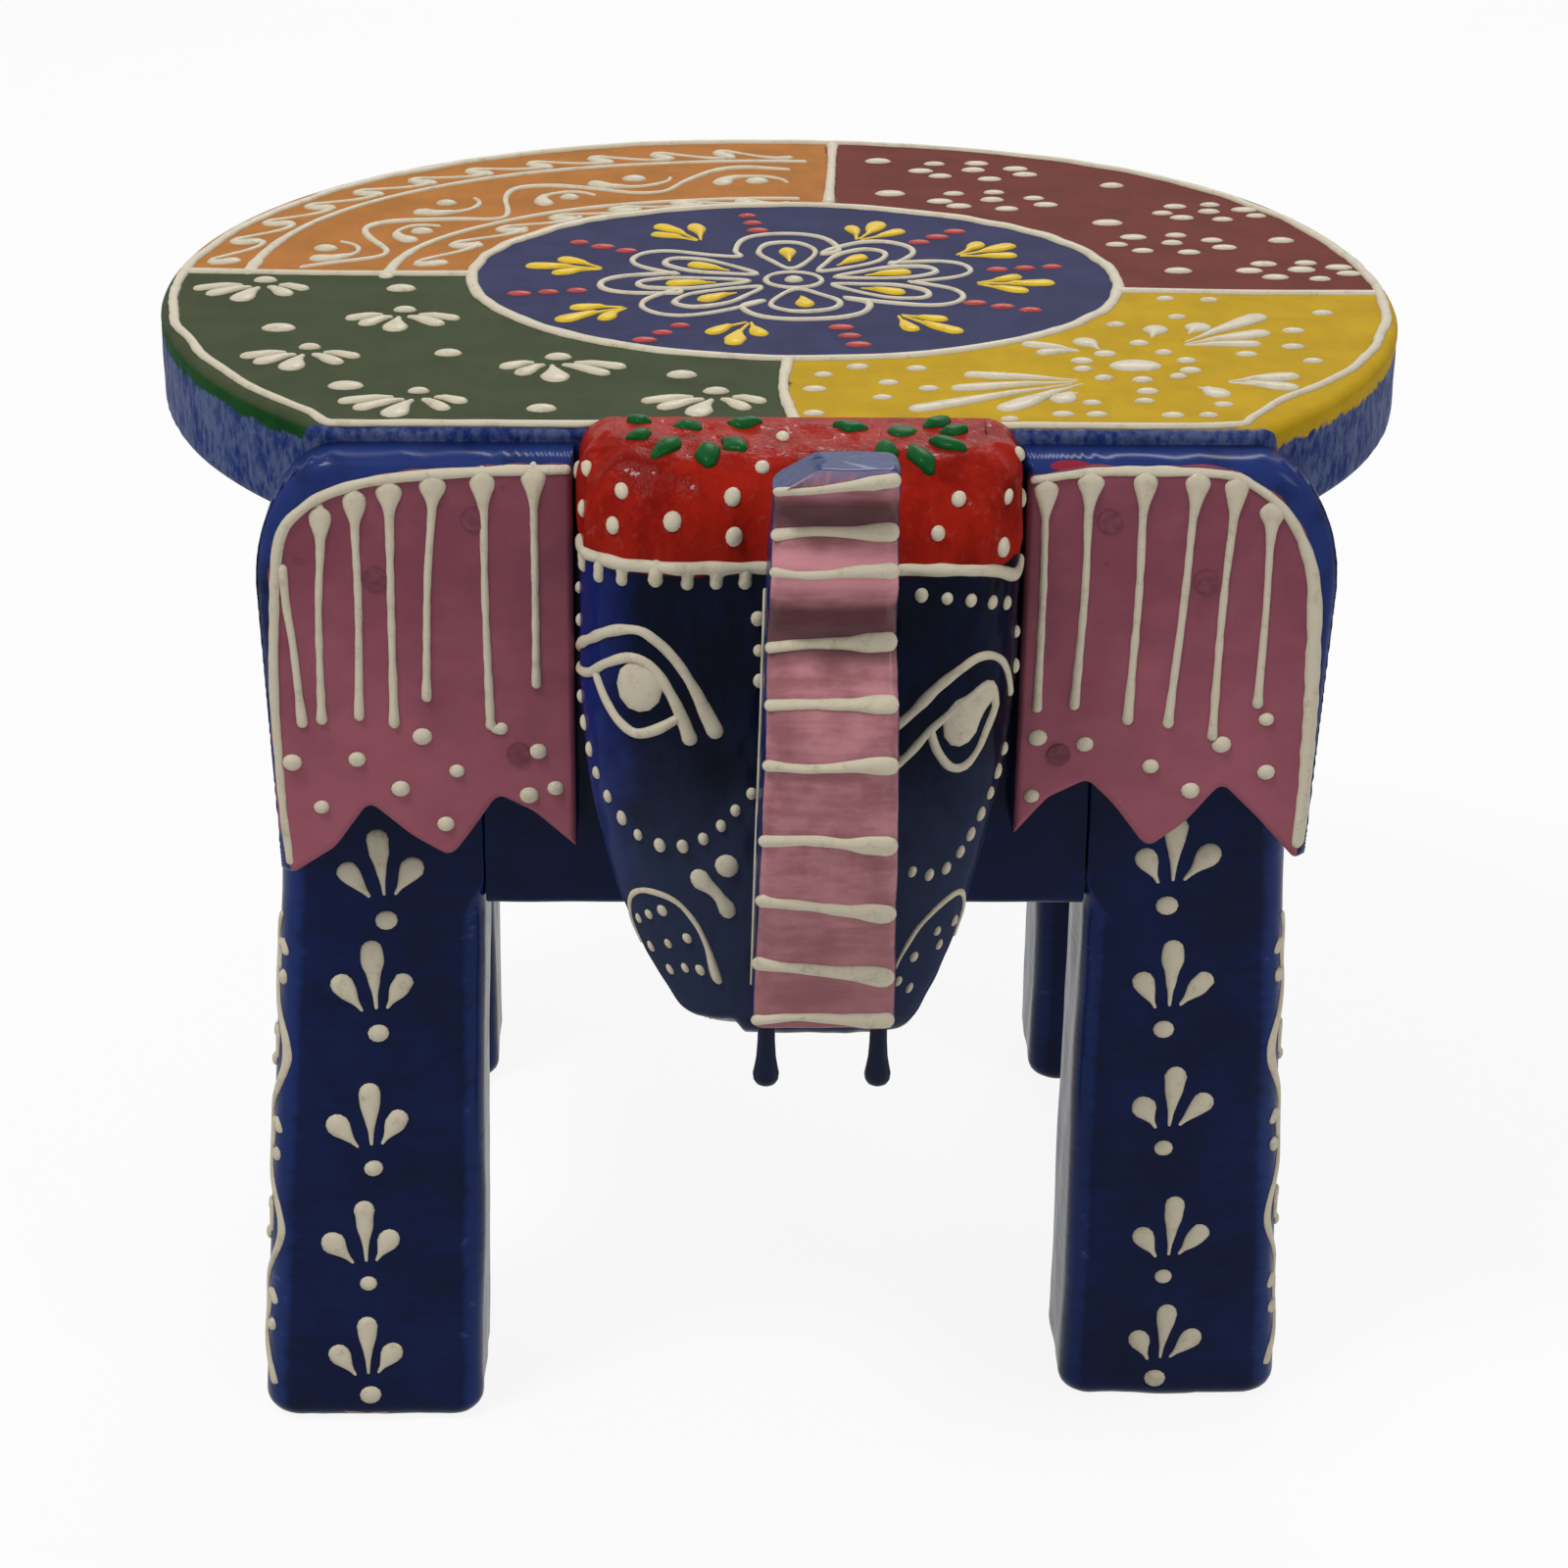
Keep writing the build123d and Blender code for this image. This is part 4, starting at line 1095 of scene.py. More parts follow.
HEAD_LOW, HEAD_HIGH = span("head")
HEAD_MIDDLE = (HEAD_LOW[0] + HEAD_HIGH[0]) / 2
HEAD_HALF = (HEAD_HIGH[0] - HEAD_LOW[0]) / 2
FACE_Y = HEAD_LOW[1]
CHIN_HALF = (10.2, 12.2)        # from the head's middle to the chin's left and right corner
CHEEK_HOLLOW = (0.0, 1.0)       # how far the left and right cheek fall short of their arcs
CHEEK_TOP = HEAD_HIGH[2] - 27.0
BROW_ROUND = 9.0
CHIN_ROUND = 4.0
FACE_HALF = 14.0                # half the flat middle of the face
CORNER_RUN = 15.9               # from there round to the head's flat side
SIDE_RUN = 8.0
CORNER_DEPTH = 10.0             # how far a corner between face and side rounds back, at most
CAP_Z = 116.5                   # lower edge of the red cap
HEAD_RUN = (43.6, 142.0)        # the skin's ends: under the chin to the boards, over the brow to the seat


def head_half(z, side):
    """Half the head's width at height z: straight, then a circular cheek down to the chin's corner."""
    draw = HEAD_HALF - CHIN_HALF[side]
    rise = CHEEK_TOP - HEAD_LOW[2]
    radius = (draw**2 + rise**2) / (2 * draw)
    below = np.clip(CHEEK_TOP - z, 0, rise)
    cheek = radius - np.sqrt(radius**2 - below**2) + CHEEK_HOLLOW[side] * np.sin(np.pi * below / rise)
    return HEAD_HALF - cheek - end_inset(HEAD_HIGH[2] - z, 4.0)


def head_point(s, v):
    """The head's skin: s round it from its middle, v up it along a profile that rounds at brow and chin.

    Across it runs flat, then along a quarter ellipse, then straight back to the boards."""
    brow, chin = HEAD_HIGH[2] - BROW_ROUND, HEAD_LOW[2] + CHIN_ROUND
    over = np.clip((v - brow) / BROW_ROUND, 0, np.pi / 2)
    under = np.clip((chin - v) / CHIN_ROUND, 0, np.pi / 2)
    z = np.clip(v, chin, brow) + BROW_ROUND * np.sin(over) - CHIN_ROUND * np.sin(under)
    y = FACE_Y + BROW_ROUND * (1 - np.cos(over)) + CHIN_ROUND * (1 - np.cos(under))
    y = y + np.maximum(v - brow - BROW_ROUND * np.pi / 2, 0)
    y = y + np.maximum(chin - CHIN_ROUND * np.pi / 2 - v, 0)
    left, right = head_half(z, 0), head_half(z, 1)
    middle, half = HEAD_MIDDLE + (right - left) / 2, (left + right) / 2
    flat = half * FACE_HALF / HEAD_HALF
    depth = FRONT_Y - y
    spread = np.clip((half - FACE_HALF) / (HEAD_HALF - FACE_HALF), 0, 1)
    cy = np.minimum(CORNER_DEPTH, 0.85 * depth) * np.minimum(1.22 - np.sqrt(1 - spread**2), 1)
    a = np.abs(s)
    turn = np.clip((a - FACE_HALF) / CORNER_RUN, 0, 1) * np.pi / 2
    back = np.clip((a - FACE_HALF - CORNER_RUN) / SIDE_RUN, 0, 1)
    reach = flat * np.clip(a / FACE_HALF, 0, 1) + (half - flat) * np.sin(turn)
    return np.stack([middle + np.sign(s) * reach, y + cy * (1 - np.cos(turn)) + (depth - cy) * back, z], -1)


def head_cuts(p):
    """Knife and brush marks: the cap stands proud with upright ridges, the face is nearly smooth."""
    x, y, z = p[..., 0], p[..., 1], p[..., 2]
    cap = smooth((z - CAP_Z + 0.5 * ripple(p, 8, 50)) / 0.8) * smooth((FRONT_Y - 1.2 - y) / 2.0)
    free = smooth((FRONT_Y - 0.8 - y) / 3.0)
    ridges = np.abs(ripple(p * (1, 0.8, 0.3), 5.0, 51))
    lumps = np.abs(ripple(p * (1, 1, 0.6), 9.0, 52))
    marks = 0.06 * ripple(p * (1, 1, 0.3), 2.4, 53) + 0.10 * ripple(p * (1, 1, 0.5), 8.0, 54)
    worked = cap * (0.30 - 0.34 * ridges - 0.42 * lumps) + free * (1 - cap) * (marks - 0.10)
    chip = (64.0 - z) / 3.5 * smooth((-4.5 - x) / 2.0)
    return worked - 1.2 * smooth(chip)


HEAD_SKIN = Surface(head_point, head_cuts)


def head_block():
    """The head's skin as one loop per height, closed by the flat back that lies on the boards."""
    side = FACE_HALF + CORNER_RUN + SIDE_RUN
    grid = HEAD_SKIN.carved(*np.meshgrid(np.linspace(-side, side, 190), np.linspace(*HEAD_RUN, 220)))
    grid[..., 1] = np.minimum(grid[..., 1], FRONT_Y - SEAM)
    return solid(grid)


# Places of the raised paint on the head's skin: round it from the middle, and up it
CAP_LINES = (
    (
        (-30.0, 116.8), (-29.0, 116.7), (-27.4, 116.6), (-22.0, 117.0), (-17.0, 117.2), (-10.0, 117.3),
        (-3.6, 117.2),
    ),
    ((10.2, 117.1), (16.0, 117.0), (21.0, 116.2), (25.2, 114.5), (27.0, 114.5), (28.4, 115.2)),
)
CAP_DRIPS = (
    (-26.9, 114.6), (-23.0, 114.6), (-19.7, 115.0), (-15.8, 115.4), (-12.4, 115.1), (-9.3, 115.2),
    (-6.2, 115.2),
)
CAP_DOTS = (
    (-26.0, 126.2), (-27.4, 121.2), (-19.8, 125.2), (-20.8, 121.2), (-14.0, 122.4), (-7.6, 125.0),
    (-7.4, 120.8), (-4.6, 128.8), (-2.4, 136.6), (16.6, 124.8), (14.4, 121.2), (22.4, 118.6), (23.6, 123.8),
    (28.6, 127.4), (31.0, 121.4), (-32.0, 124.0),
)
# Each green flower's middle, and its petals' middles
CAP_FLOWERS = (
    ((-14.8, 139.4), (
        (-22.2, 140.4), (-21.8, 134.2), (-16.7, 131.8), (-11.2, 130.6), (-8.6, 133.2), (-7.2, 139.8),
    )),
    ((13.2, 137.2), (
        (6.4, 138.6), (10.0, 131.0), (13.8, 130.0), (18.4, 132.6), (20.6, 137.0), (18.2, 140.4),
    )),
)
# Each line's widths and its path: brow, lid and underside of the left eye, then of the right one, the arch on
# the left cheek, that on the right one, the mark on the jaw, and what fills the right eye's corner
FACE_LINES = (
    ((0.6, 0.6, 0.66, 0.6, 0.56, 0.6, 1.0), (
        (-33.0, 103.0), (-29.6, 104.6), (-25.6, 106.6), (-21.2, 109.0), (-17.8, 109.8), (-15.6, 108.6),
        (-13.4, 106.2), (-11.6, 103.2), (-10.4, 100.6), (-9.3, 98.3),
    )),
    ((0.6, 0.55, 0.58, 0.6, 0.55, 0.95), (
        (-32.6, 100.8), (-28.4, 102.0), (-25.0, 103.0), (-22.0, 105.0), (-18.6, 106.5), (-16.2, 105.6),
        (-14.3, 102.8), (-13.0, 100.0), (-12.1, 97.4),
    )),
    ((0.55, 0.6, 0.65, 0.58), (
        (-23.6, 103.2), (-21.8, 100.4), (-19.9, 98.4), (-18.2, 97.6), (-16.0, 98.2), (-13.6, 99.6),
    )),
    ((0.62, 0.62, 0.6, 0.5, 0.5), (
        (8.4, 97.0), (11.6, 99.8), (14.6, 103.2), (17.2, 105.2), (20.0, 106.4), (22.6, 105.6), (24.6, 103.4),
        (26.0, 100.4),
    )),
    ((0.6, 0.55, 0.5, 0.5, 0.5, 0.6), (
        (9.4, 92.6), (12.2, 95.4), (14.4, 98.4), (16.6, 100.4), (19.2, 102.2), (21.4, 102.8), (22.3, 100.4),
    )),
    ((0.5, 0.5, 0.55, 0.5, 0.6), (
        (14.4, 98.4), (15.4, 96.0), (17.2, 93.9), (19.0, 93.7), (20.6, 95.4), (21.8, 98.2), (22.4, 100.2),
    )),
    ((0.3, 0.34, 0.34, 0.36, 0.4, 0.4, 0.46, 0.95), (
        (-28.6, 71.6), (-27.4, 74.2), (-24.4, 77.2), (-20.6, 78.6), (-16.8, 77.8), (-14.6, 75.2),
        (-13.8, 72.0), (-14.0, 68.2),
    )),
    ((0.34, 0.4, 0.42, 0.36, 0.34), (
        (15.6, 68.0), (16.4, 71.0), (18.2, 74.8), (21.6, 77.6), (24.6, 77.8), (27.4, 75.6), (28.6, 72.4),
    )),
    ((1.3, 0.85, 0.75, 1.35), ((-12.4, 80.3), (-10.6, 78.6), (-9.6, 76.8))),
    ((1.9, 1.7, 1.0), ((18.6, 99.9), (20.0, 101.2), (21.4, 102.0))),
)
LEFT_PUPIL = (-17.7, 103.2)
RIGHT_PUPIL = (18.0, 99.1)
JAW_DOT = (-8.7, 82.0)
# Strings of dots: how many, and the path that they stand along
FACE_DOTS = (
    (13, ((-29.0, 98.6), (-25.4, 92.3), (-20.0, 85.9), (-14.8, 84.3), (-10.0, 86.0), (-5.2, 90.8))),
    (9, ((27.0, 93.6), (24.6, 89.0), (21.8, 83.8), (18.7, 80.9), (15.0, 81.3))),
    (5, ((12.8, 114.2), (18.5, 113.2), (24.0, 111.6))),
    (3, ((-4.8, 111.4), (-4.5, 104.2))),
    (2, ((-30.4, 111.0), (-29.8, 107.4))),
    (2, ((27.6, 107.0), (27.4, 103.0))),
)
CHEEK_DOTS = (
    (-24.2, 74.8), (-21.4, 75.6), (-18.8, 76.3), (-24.4, 71.4), (-20.0, 72.1), (-16.4, 73.0), (-22.2, 68.8),
    (-18.8, 69.2), (-16.3, 69.0), (21.4, 73.6), (23.0, 71.8), (18.6, 70.6), (17.2, 67.6), (20.0, 66.6),
    (25.2, 74.4),
)


def head_relief(settings):
    """Cream lines, drips and dots over the cap and the face, and the cap's two green flowers."""
    cream, leaf = Shells(), Shells()
    skin = HEAD_SKIN
    for path in CAP_LINES:
        line(cream, skin, path, (0.66, 0.8, 0.68, 0.78, 0.66), 0.8, step=0.7)
    for s, v in CAP_DRIPS:
        line(cream, skin, ((s + 0.1, v + 1.9), (s, v + 0.3)), (0.7, 0.8, 0.7, 0.75), 0.65, step=0.4)
    dots(cream, skin, CAP_DOTS, 0.95, 0.6, seed=6, stretch=(0.9, 1.15))
    for k, (count, path) in enumerate(FACE_DOTS):
        string = spaced(through(path), 0.2)
        picked = np.linspace(0, len(string) - 1, count).round().astype(int)
        dots(cream, skin, string[picked], 0.72, 0.5, seed=7 + k, stretch=(0.9, 1.15))
    for widths, path in FACE_LINES:
        line(cream, skin, path, widths, 0.5, step=0.6)
    dots(cream, skin, [LEFT_PUPIL], 3.0, 0.55, seed=2, stretch=(0.92, 1.16))
    dots(cream, skin, [RIGHT_PUPIL], 2.7, 0.55, seed=2, stretch=(0.86, 1.24))
    dots(cream, skin, CHEEK_DOTS, 0.68, 0.4, seed=3)
    dots(cream, skin, [JAW_DOT], 1.35, 0.6, seed=5)
    for centre, petals in CAP_FLOWERS:
        dots(leaf, skin, [centre], 1.5, 0.5, stretch=(1.25, 1.1))
        for petal in np.array(petals):
            way = (petal - centre) / np.linalg.norm(petal - centre)
            path = [petal - way * 1.9, petal, petal + way * 1.5]
            line(leaf, skin, path, (0.6, 1.15, 1.5, 1.5, 1.3, 0.8), 0.8, step=0.45)
    cream.make("head_cream", relief_finish("cream on face", settings.cream), "head_paint")
    leaf.make("head_leaves", relief_finish("green leaves", settings.leaf, 0.08), "head_paint")


# ---- Trunk ----

TRUNK_LOW, TRUNK_HIGH = span("trunk")
TRUNK_X = (TRUNK_LOW[0] + TRUNK_HIGH[0]) / 2
# The waved line down the trunk's front: height and place forwards
TRUNK_FRONT = np.array((
    (64.6, -73.0), (68.0, -73.3), (73.7, -74.6), (83.0, -77.9), (91.0, -79.8), (98.0, -80.6), (103.0, -80.4),
    (107.0, -79.2), (110.3, -77.0), (113.0, -76.0), (116.0, -77.2), (119.2, -79.4), (122.0, -80.1),
    (124.6, -79.4), (127.2, -78.3), (129.4, -79.6), (131.2, -81.7), (132.2, -82.0), (133.4, -82.0),
))
TIP_CHIP = (4.8, 3.0)           # the corner cut off the trunk's tip: across and down
# The trunk's back leaves the face from this height on, over this run, by this much
TIP_BACK = (116.5, 16.9, 8.0)
TIP_FILM = 131.6                # above this height its tip is filmed with greyed blue
# Painted shade lies in the two hollows, and a painted highlight on the crest between them.
TRUNK_SHADED_HOLLOWS = ((109.5, 118.5), (124.0, 130.5))    # heights between which the trunk is darker
TRUNK_LIT_BAND = (118.5, 124.5)                        # and between which it is lighter
# Cross lines down the trunk: height at the left edge, at the right edge, and width
TRUNK_LINES = (
    (130.8, 132.3, 0.95), (125.4, 125.7, 0.95), (121.6, 121.8, 1.0), (111.8, 112.4, 1.1),
    (106.5, 106.6, 1.05), (100.0, 100.0, 1.1), (90.8, 90.2, 1.3), (82.8, 80.9, 1.35), (73.6, 71.7, 1.45),
    (65.9, 65.9, 1.1),
)


def trunk_half(z):
    """Half the trunk's width: a straight taper from foot to tip."""
    share = np.clip((z - TRUNK_LOW[2]) / (TRUNK_HIGH[2] - TRUNK_LOW[2]), 0, 1)
    return (TRUNK_HIGH[0] - TRUNK_LOW[0]) / 2 - 1.5 * share


def trunk_front(u, v):
    """The trunk's waved front: y is a smooth curve of the height v, u goes across from its middle line."""
    return np.stack([TRUNK_X + u, curve(*TRUNK_FRONT.T, v) + 0 * u, v], -1)


def trunk_left(u, v):
    """The trunk's flat left side: u forwards from the face, v the height."""
    return np.stack([TRUNK_X - trunk_half(v) + 0 * u, FACE_Y - u, v], -1)


def trunk_cuts(p):
    """Uneven carving of the trunk."""
    return 0.10 * ripple(p * (1, 1, 0.6), 6.0, 61) + 0.04 * ripple(p, 2.2, 62) - 0.12


def trunk_block():
    """Rounded loops stacked up the trunk: its front on the waved line, its back off the face near the top."""
    z = stations(TRUNK_LOW[2], TRUNK_HIGH[2], 0.55, 0.5, 1.0)
    low = end_inset(z - TRUNK_LOW[2], 0.5)
    high = end_inset(TRUNK_HIGH[2] - z, 1.0)
    front = curve(*TRUNK_FRONT.T, z) + low + high
    start, run, reach = TIP_BACK
    back = FACE_Y - reach * smooth((z - start) / run) ** 0.9 - high * 0.5
    half = trunk_half(z) - low - high
    keep = np.full_like(z, 1.5) - (low + high) * 0.6
    soft = 0.5 + 0.9 * smooth((z - 117) / 6) - high * 0.4
    radii = (soft, soft, keep, keep)
    loops = rounded_loops(TRUNK_X - half, TRUNK_X + half, front, back, radii, arc=7, side=22)
    rings, out = displaced(stacked(loops, z), trunk_cuts)
    middle = rings[-1].mean(axis=0)
    share = np.array((0.9, 0.72, 0.5, 0.25, 0.06))[:, None, None]
    rings = np.concatenate([rings, middle + (rings[-1] - middle) * share])
    out = np.concatenate([out, np.broadcast_to((0.0, 0.0, 1.0), (len(share),) + out.shape[1:])])
    from_left = (rings[..., 0] - TRUNK_X + trunk_half(TRUNK_HIGH[2])) / TIP_CHIP[0]
    rings[..., 2] = np.minimum(rings[..., 2], TRUNK_HIGH[2] - TIP_CHIP[1] * np.clip(1 - from_left, 0, 1))
    rings[..., 1] = np.maximum(rings[..., 1], TRUNK_LOW[1])
    rings[..., 2] = np.clip(rings[..., 2], TRUNK_LOW[2], TRUNK_HIGH[2])
    return solid(rings, front=smooth((-out[..., 1] - 0.22) / 0.35))


def trunk_relief(settings):
    """Cream cross lines, thin at the trunk's left edge and wide at its right, and a line down its side."""
    cream = Shells()
    front = Surface(trunk_front, trunk_cuts)
    for k, (left, right, width) in enumerate(TRUNK_LINES):
        start, end = -trunk_half(left) + 0.6, trunk_half(right) - 1.15 * width
        sag, rise = 0.35 * np.sin(2.3 * k), right - left
        bends = ((start * 0.4, left + rise * 0.25 + sag), (end * 0.5, left + rise * 0.75))
        widths = np.array((0.6, 0.5, 0.48, 0.52, 0.62, 0.85, 1.0)) * width
        line(cream, front, ((start, left), *bends, (end, right)), widths, 0.55, step=0.6)
    v = np.linspace(68, 115, 12)
    side = Surface(trunk_left)
    line(cream, side, np.column_stack([1.3 + 0.5 * np.sin(v * 0.7), v]), (0.2, 0.28, 0.22, 0.3), 0.25)
    cream.make("trunk_cream", relief_finish("cream on trunk", settings.cream), "trunk_paint")


def tusk_block(node):
    """A nail turned from a profile of radius against height, its tip swollen and rounded."""
    low, high = span(node)
    middle = (low + high)[:2] / 2
    z = np.array((0.0, 0.10, 0.35, 0.8, 1.5, 2.4, 3.6, 5.5, 8.4, high[2] - low[2])) + low[2]
    radius = np.array((0.25, 0.75, 1.15, 1.42, 1.5, 1.32, 1.12, 1.0, 0.95, 0.9))
    turn = ring_of(28)
    return solid(stacked(radius[:, None, None] * np.stack([np.cos(turn), np.sin(turn)], -1) + middle, z))


# ---- Tail ----

TAIL_LOW, TAIL_HIGH = span("tail")


def tail_strip():
    """A flat strip narrowing to a waist and widening to a tuft, its width a smooth curve of the height."""
    z = stations(TAIL_LOW[2], TAIL_HIGH[2], 0.7, 1.2, 1.0)
    inset = end_inset(z - TAIL_LOW[2], 1.2) + end_inset(TAIL_HIGH[2] - z, 1.0)
    knots = (*(TAIL_LOW[2] + rise for rise in (0, 4, 9, 17, 32)), TAIL_HIGH[2])
    half = curve(knots, (3.2, 5.1, 5.5, 3.0, 2.9, 4.5), z) - inset
    radius = np.full_like(z, 1.8) - inset * 0.5
    radii = (radius, radius, *(np.full_like(z, 0.4),) * 2)
    loops = rounded_loops(-half, half, TAIL_LOW[1] + 0 * z, TAIL_HIGH[1] - inset, radii, arc=7, side=12)
    rings = stacked(loops, z)
    hair = smooth((TAIL_LOW[2] + 17 - rings[..., 2]) / 5)
    groove = np.abs(np.sin(rings[..., 0] * 2.1 + 0.06 * rings[..., 2]))
    rings, _ = displaced(rings, lambda p: -0.35 * (1 - groove) * hair - 0.05)
    rings[..., 1] = np.maximum(rings[..., 1], TAIL_LOW[1])
    return solid(rings)


def tail_back(u, v):
    """The back of the tail: u runs towards -X, v is the height."""
    return np.stack([-u, np.full_like(u, TAIL_HIGH[1]), v], -1)


def tail_relief(settings):
    """A line down the tail to a dot above its tuft."""
    cream = Shells()
    face = Surface(tail_back)
    path = ((0, TAIL_HIGH[2] - 3), (0.4, TAIL_HIGH[2] - 18), (-0.3, TAIL_LOW[2] + 19))
    line(cream, face, path, (0.5, 0.4, 0.42))
    dots(cream, face, [(0, TAIL_LOW[2] + 15)], 1.0)
    cream.make("tail_cream", relief_finish("cream on tail", settings.cream), "blue_paint")


# ---- Finishes ----


def plain_finish(name, colour, roughness, metallic=0.0, size=2.0, shade=0.7):
    """A finish with soft blotches of a darker shade, for pieces that are mostly hidden."""
    p = Finish(name)
    cloud = p.noise(size, 4.0)
    p.shader.inputs["Metallic"].default_value = metallic
    colour = p.mix(cloud.step(0.35, 0.65), shaded(colour, shade), colour)
    return p.done(colour, roughness + 0.12 * cloud, cloud, 0.03, mirror=0.5 if metallic else 0.15)


def shaded(colour, share):
    """A darker or lighter tone of a colour."""
    return tuple(min(c * share, 1.0) for c in colour[:3]) + (1.0,)


def wood_finish(name, light, dark, grain):
    """Bare wood: noise drawn out along the grain, in rings of two browns."""
    p = Finish(name)
    along = [0.9, 0.9, 0.9]
    along["XYZ".index(grain)] = 0.06
    fibre = p.noise(0.5, 4.0, p.squeezed(*along))
    broad = p.noise(3.5, 3.0, p.squeezed(*along))
    colour = p.mix((fibre * 0.6 + broad * 0.4).step(0.36, 0.62), dark, light)
    return p.done(colour, 0.5 + 0.2 * fibre, fibre, 0.05)


def relief_finish(name, colour, coat=0.2):
    """Thick paint squeezed on in lines and drops: clean on top, a little dirt in it, satin varnish."""
    p = Finish(name)
    colour = tuple(colour)
    dirt = tuple(c * k for c, k in zip(colour[:3], (0.60, 0.55, 0.46))) + (1.0,)
    cloud = p.noise(1.6, 4.0)
    fine = p.noise(0.35, 2.0)
    worn = (cloud * 0.7 + fine * 0.3).step(0.50, 0.76)
    return p.done(p.mix(worn * 0.7, colour, dirt), 0.34 + 0.2 * fine, fine, 0.04, coat=coat)


def brushed(p, colour, streaks, low=0.72, high=1.25):
    """One paint colour, darker and lighter along its brush marks."""
    return p.mix(streaks.step(0.30, 0.70), shaded(colour, low), shaded(colour, high))


# Where the left fields meet, away from the face, how much nearer to it the right ones meet, and how far
# to the right of the front ones the back ones meet
FIELD_EDGES = (5.7, 6.5, 8.3)


def seat_finish(settings):
    """Four painted quarters round an oval, spilling over the edge of a brushed blue side."""
    p = Finish("seat paint")
    y = p.y - float(SEAT_Y)
    wander = (p.noise(3.2, 3.0) - 0.5) * 2.2
    left_edge, nearer, back_edge = FIELD_EDGES
    north = (y - left_edge + nearer * p.x.step(-3, 3) + wander).step(-0.3, 0.3)
    east = (p.x - back_edge * y.step(-3, 3) + wander).step(-0.3, 0.3)
    slant = p.noise(1.6, 4.0, p.squeezed(1.0, 0.25, 1.0))
    cross = p.noise(2.4, 3.0, p.squeezed(0.16, 0.8, 1.0))
    cloud = p.noise(7.0, 5.0)
    streaks = slant * 0.2 + cross * 0.2 + cloud * 0.6
    green = brushed(p, settings.green, streaks, 0.80, 1.14)
    front = p.mix(east, green, brushed(p, settings.yellow_ground, streaks, 0.86, 1.08))
    orange = brushed(p, settings.orange, streaks, 0.84, 1.1)
    back = p.mix(east, orange, brushed(p, settings.maroon, streaks, 0.8, 1.12))
    quarters = p.mix(north, front, back)
    oval_x, oval_y = (p.x - OVAL[0]) / OVAL[2], (y - OVAL[1]) / OVAL[3]
    oval = (oval_x * oval_x + oval_y * oval_y + wander * 0.012).step(0.985, 1.0)
    top = p.mix(oval, brushed(p, settings.centre, streaks, 0.78, 1.12), quarters)
    specks = p.noise(0.55, 2.0).step(0.72, 0.76) * p.noise(12.0, 2.0).step(0.42, 0.6)
    top = p.mix(specks * 0.7, top, settings.ink)
    upright = p.noise(0.9, 4.0, p.squeezed(1.0, 1.0, 0.55), rough=0.6)
    film = (upright * 0.6 + p.noise(4.0, 3.0) * 0.4).step(0.38, 0.62)
    side = p.mix(film, settings.side_blue, settings.side_film)
    green_share = (1 - north) * (1 - east)
    yellow_share = (1 - north) * east
    chord = (float(FRONT_Y) + 2.2 - p.y).step(0.0, 1.2)
    spill = 1.0 - 0.9 * chord + 1.3 * green_share * (1 - chord) + 1.6 * yellow_share * (1 - chord)
    spill = spill + 2.6 * (p.noise(1.7, 3.0) - 0.5) * (1 - 0.7 * chord)
    over = (p.z - (float(TOP_Z) - spill)).step(-0.25, 0.25)
    edge_dark = (p.z - float(TOP_Z) + 0.5).step(-0.3, 0.3)
    spilled = p.mix(edge_dark, brushed(p, settings.green_edge, streaks), top)
    top = p.mix(green_share * (1 - edge_dark), top, spilled)
    under = (float(SEAT_LOW[2]) + 0.4 - p.z).step(-0.3, 0.3)
    colour = p.mix(over, side, top)
    colour = p.mix(under, colour, srgb(52, 40, 34))
    gloss = 0.46 + 0.16 * streaks - 0.16 * (1 - over)
    return p.done(colour, gloss, upright * (1 - over) + streaks * over * 0.5, 0.22, mirror=0.01)


def blue_finish(settings):
    """Navy paint with short brush marks; towards the outer corners a brighter blue, partly paint and partly a
    painted highlight, and a worn grey film.
    """
    p = Finish("navy paint")
    level = p.noise(0.9, 5.0, p.squeezed(0.12, 0.12, 1.0))
    short = p.noise(1.3, 4.0, p.squeezed(0.5, 0.5, 0.9), rough=0.62)
    cloud = p.noise(9.0, 4.0)
    shades = (level * 0.2 + short * 0.25 + cloud * 0.55).step(0.34, 0.70)
    base = p.mix(shades, settings.navy, settings.mid_blue)
    # Lighter blue on the rounded outer corners: partly paint, partly a painted highlight.
    edge = (p.attribute("edge") + (short - 0.5) * 0.9 + (cloud - 0.5) * 0.7).step(0.35, 1.1)
    colour = p.mix(edge * 0.8, base, settings.edge_blue_and_highlight)
    worn = (short * 0.65 + cloud * 0.35).step(0.60, 0.70) * p.attribute("edge").step(0.05, 0.5)
    colour = p.mix(worn * 0.45, colour, settings.side_film)
    middle, half, height = FOOT_CHIP
    ragged = (short - 0.5) * 3.0
    sides = (p.x - middle + half + ragged).step(0, 0.4) * (middle + half - p.x + ragged).step(0, 0.4)
    chip = sides * (height - p.z + ragged).step(0, 0.3)
    colour = p.mix(chip, colour, srgb(150, 120, 96))
    return p.done(colour, 0.24 + 0.12 * level, short * 0.6 + level * 0.3 + 0.4 * cloud, 0.14, coat=0.15)


# Red paint strayed on the right ear's top edge: its middle, half its width and half its height
RED_SMEAR = (30.4, 124.7, 2.4, 0.5)


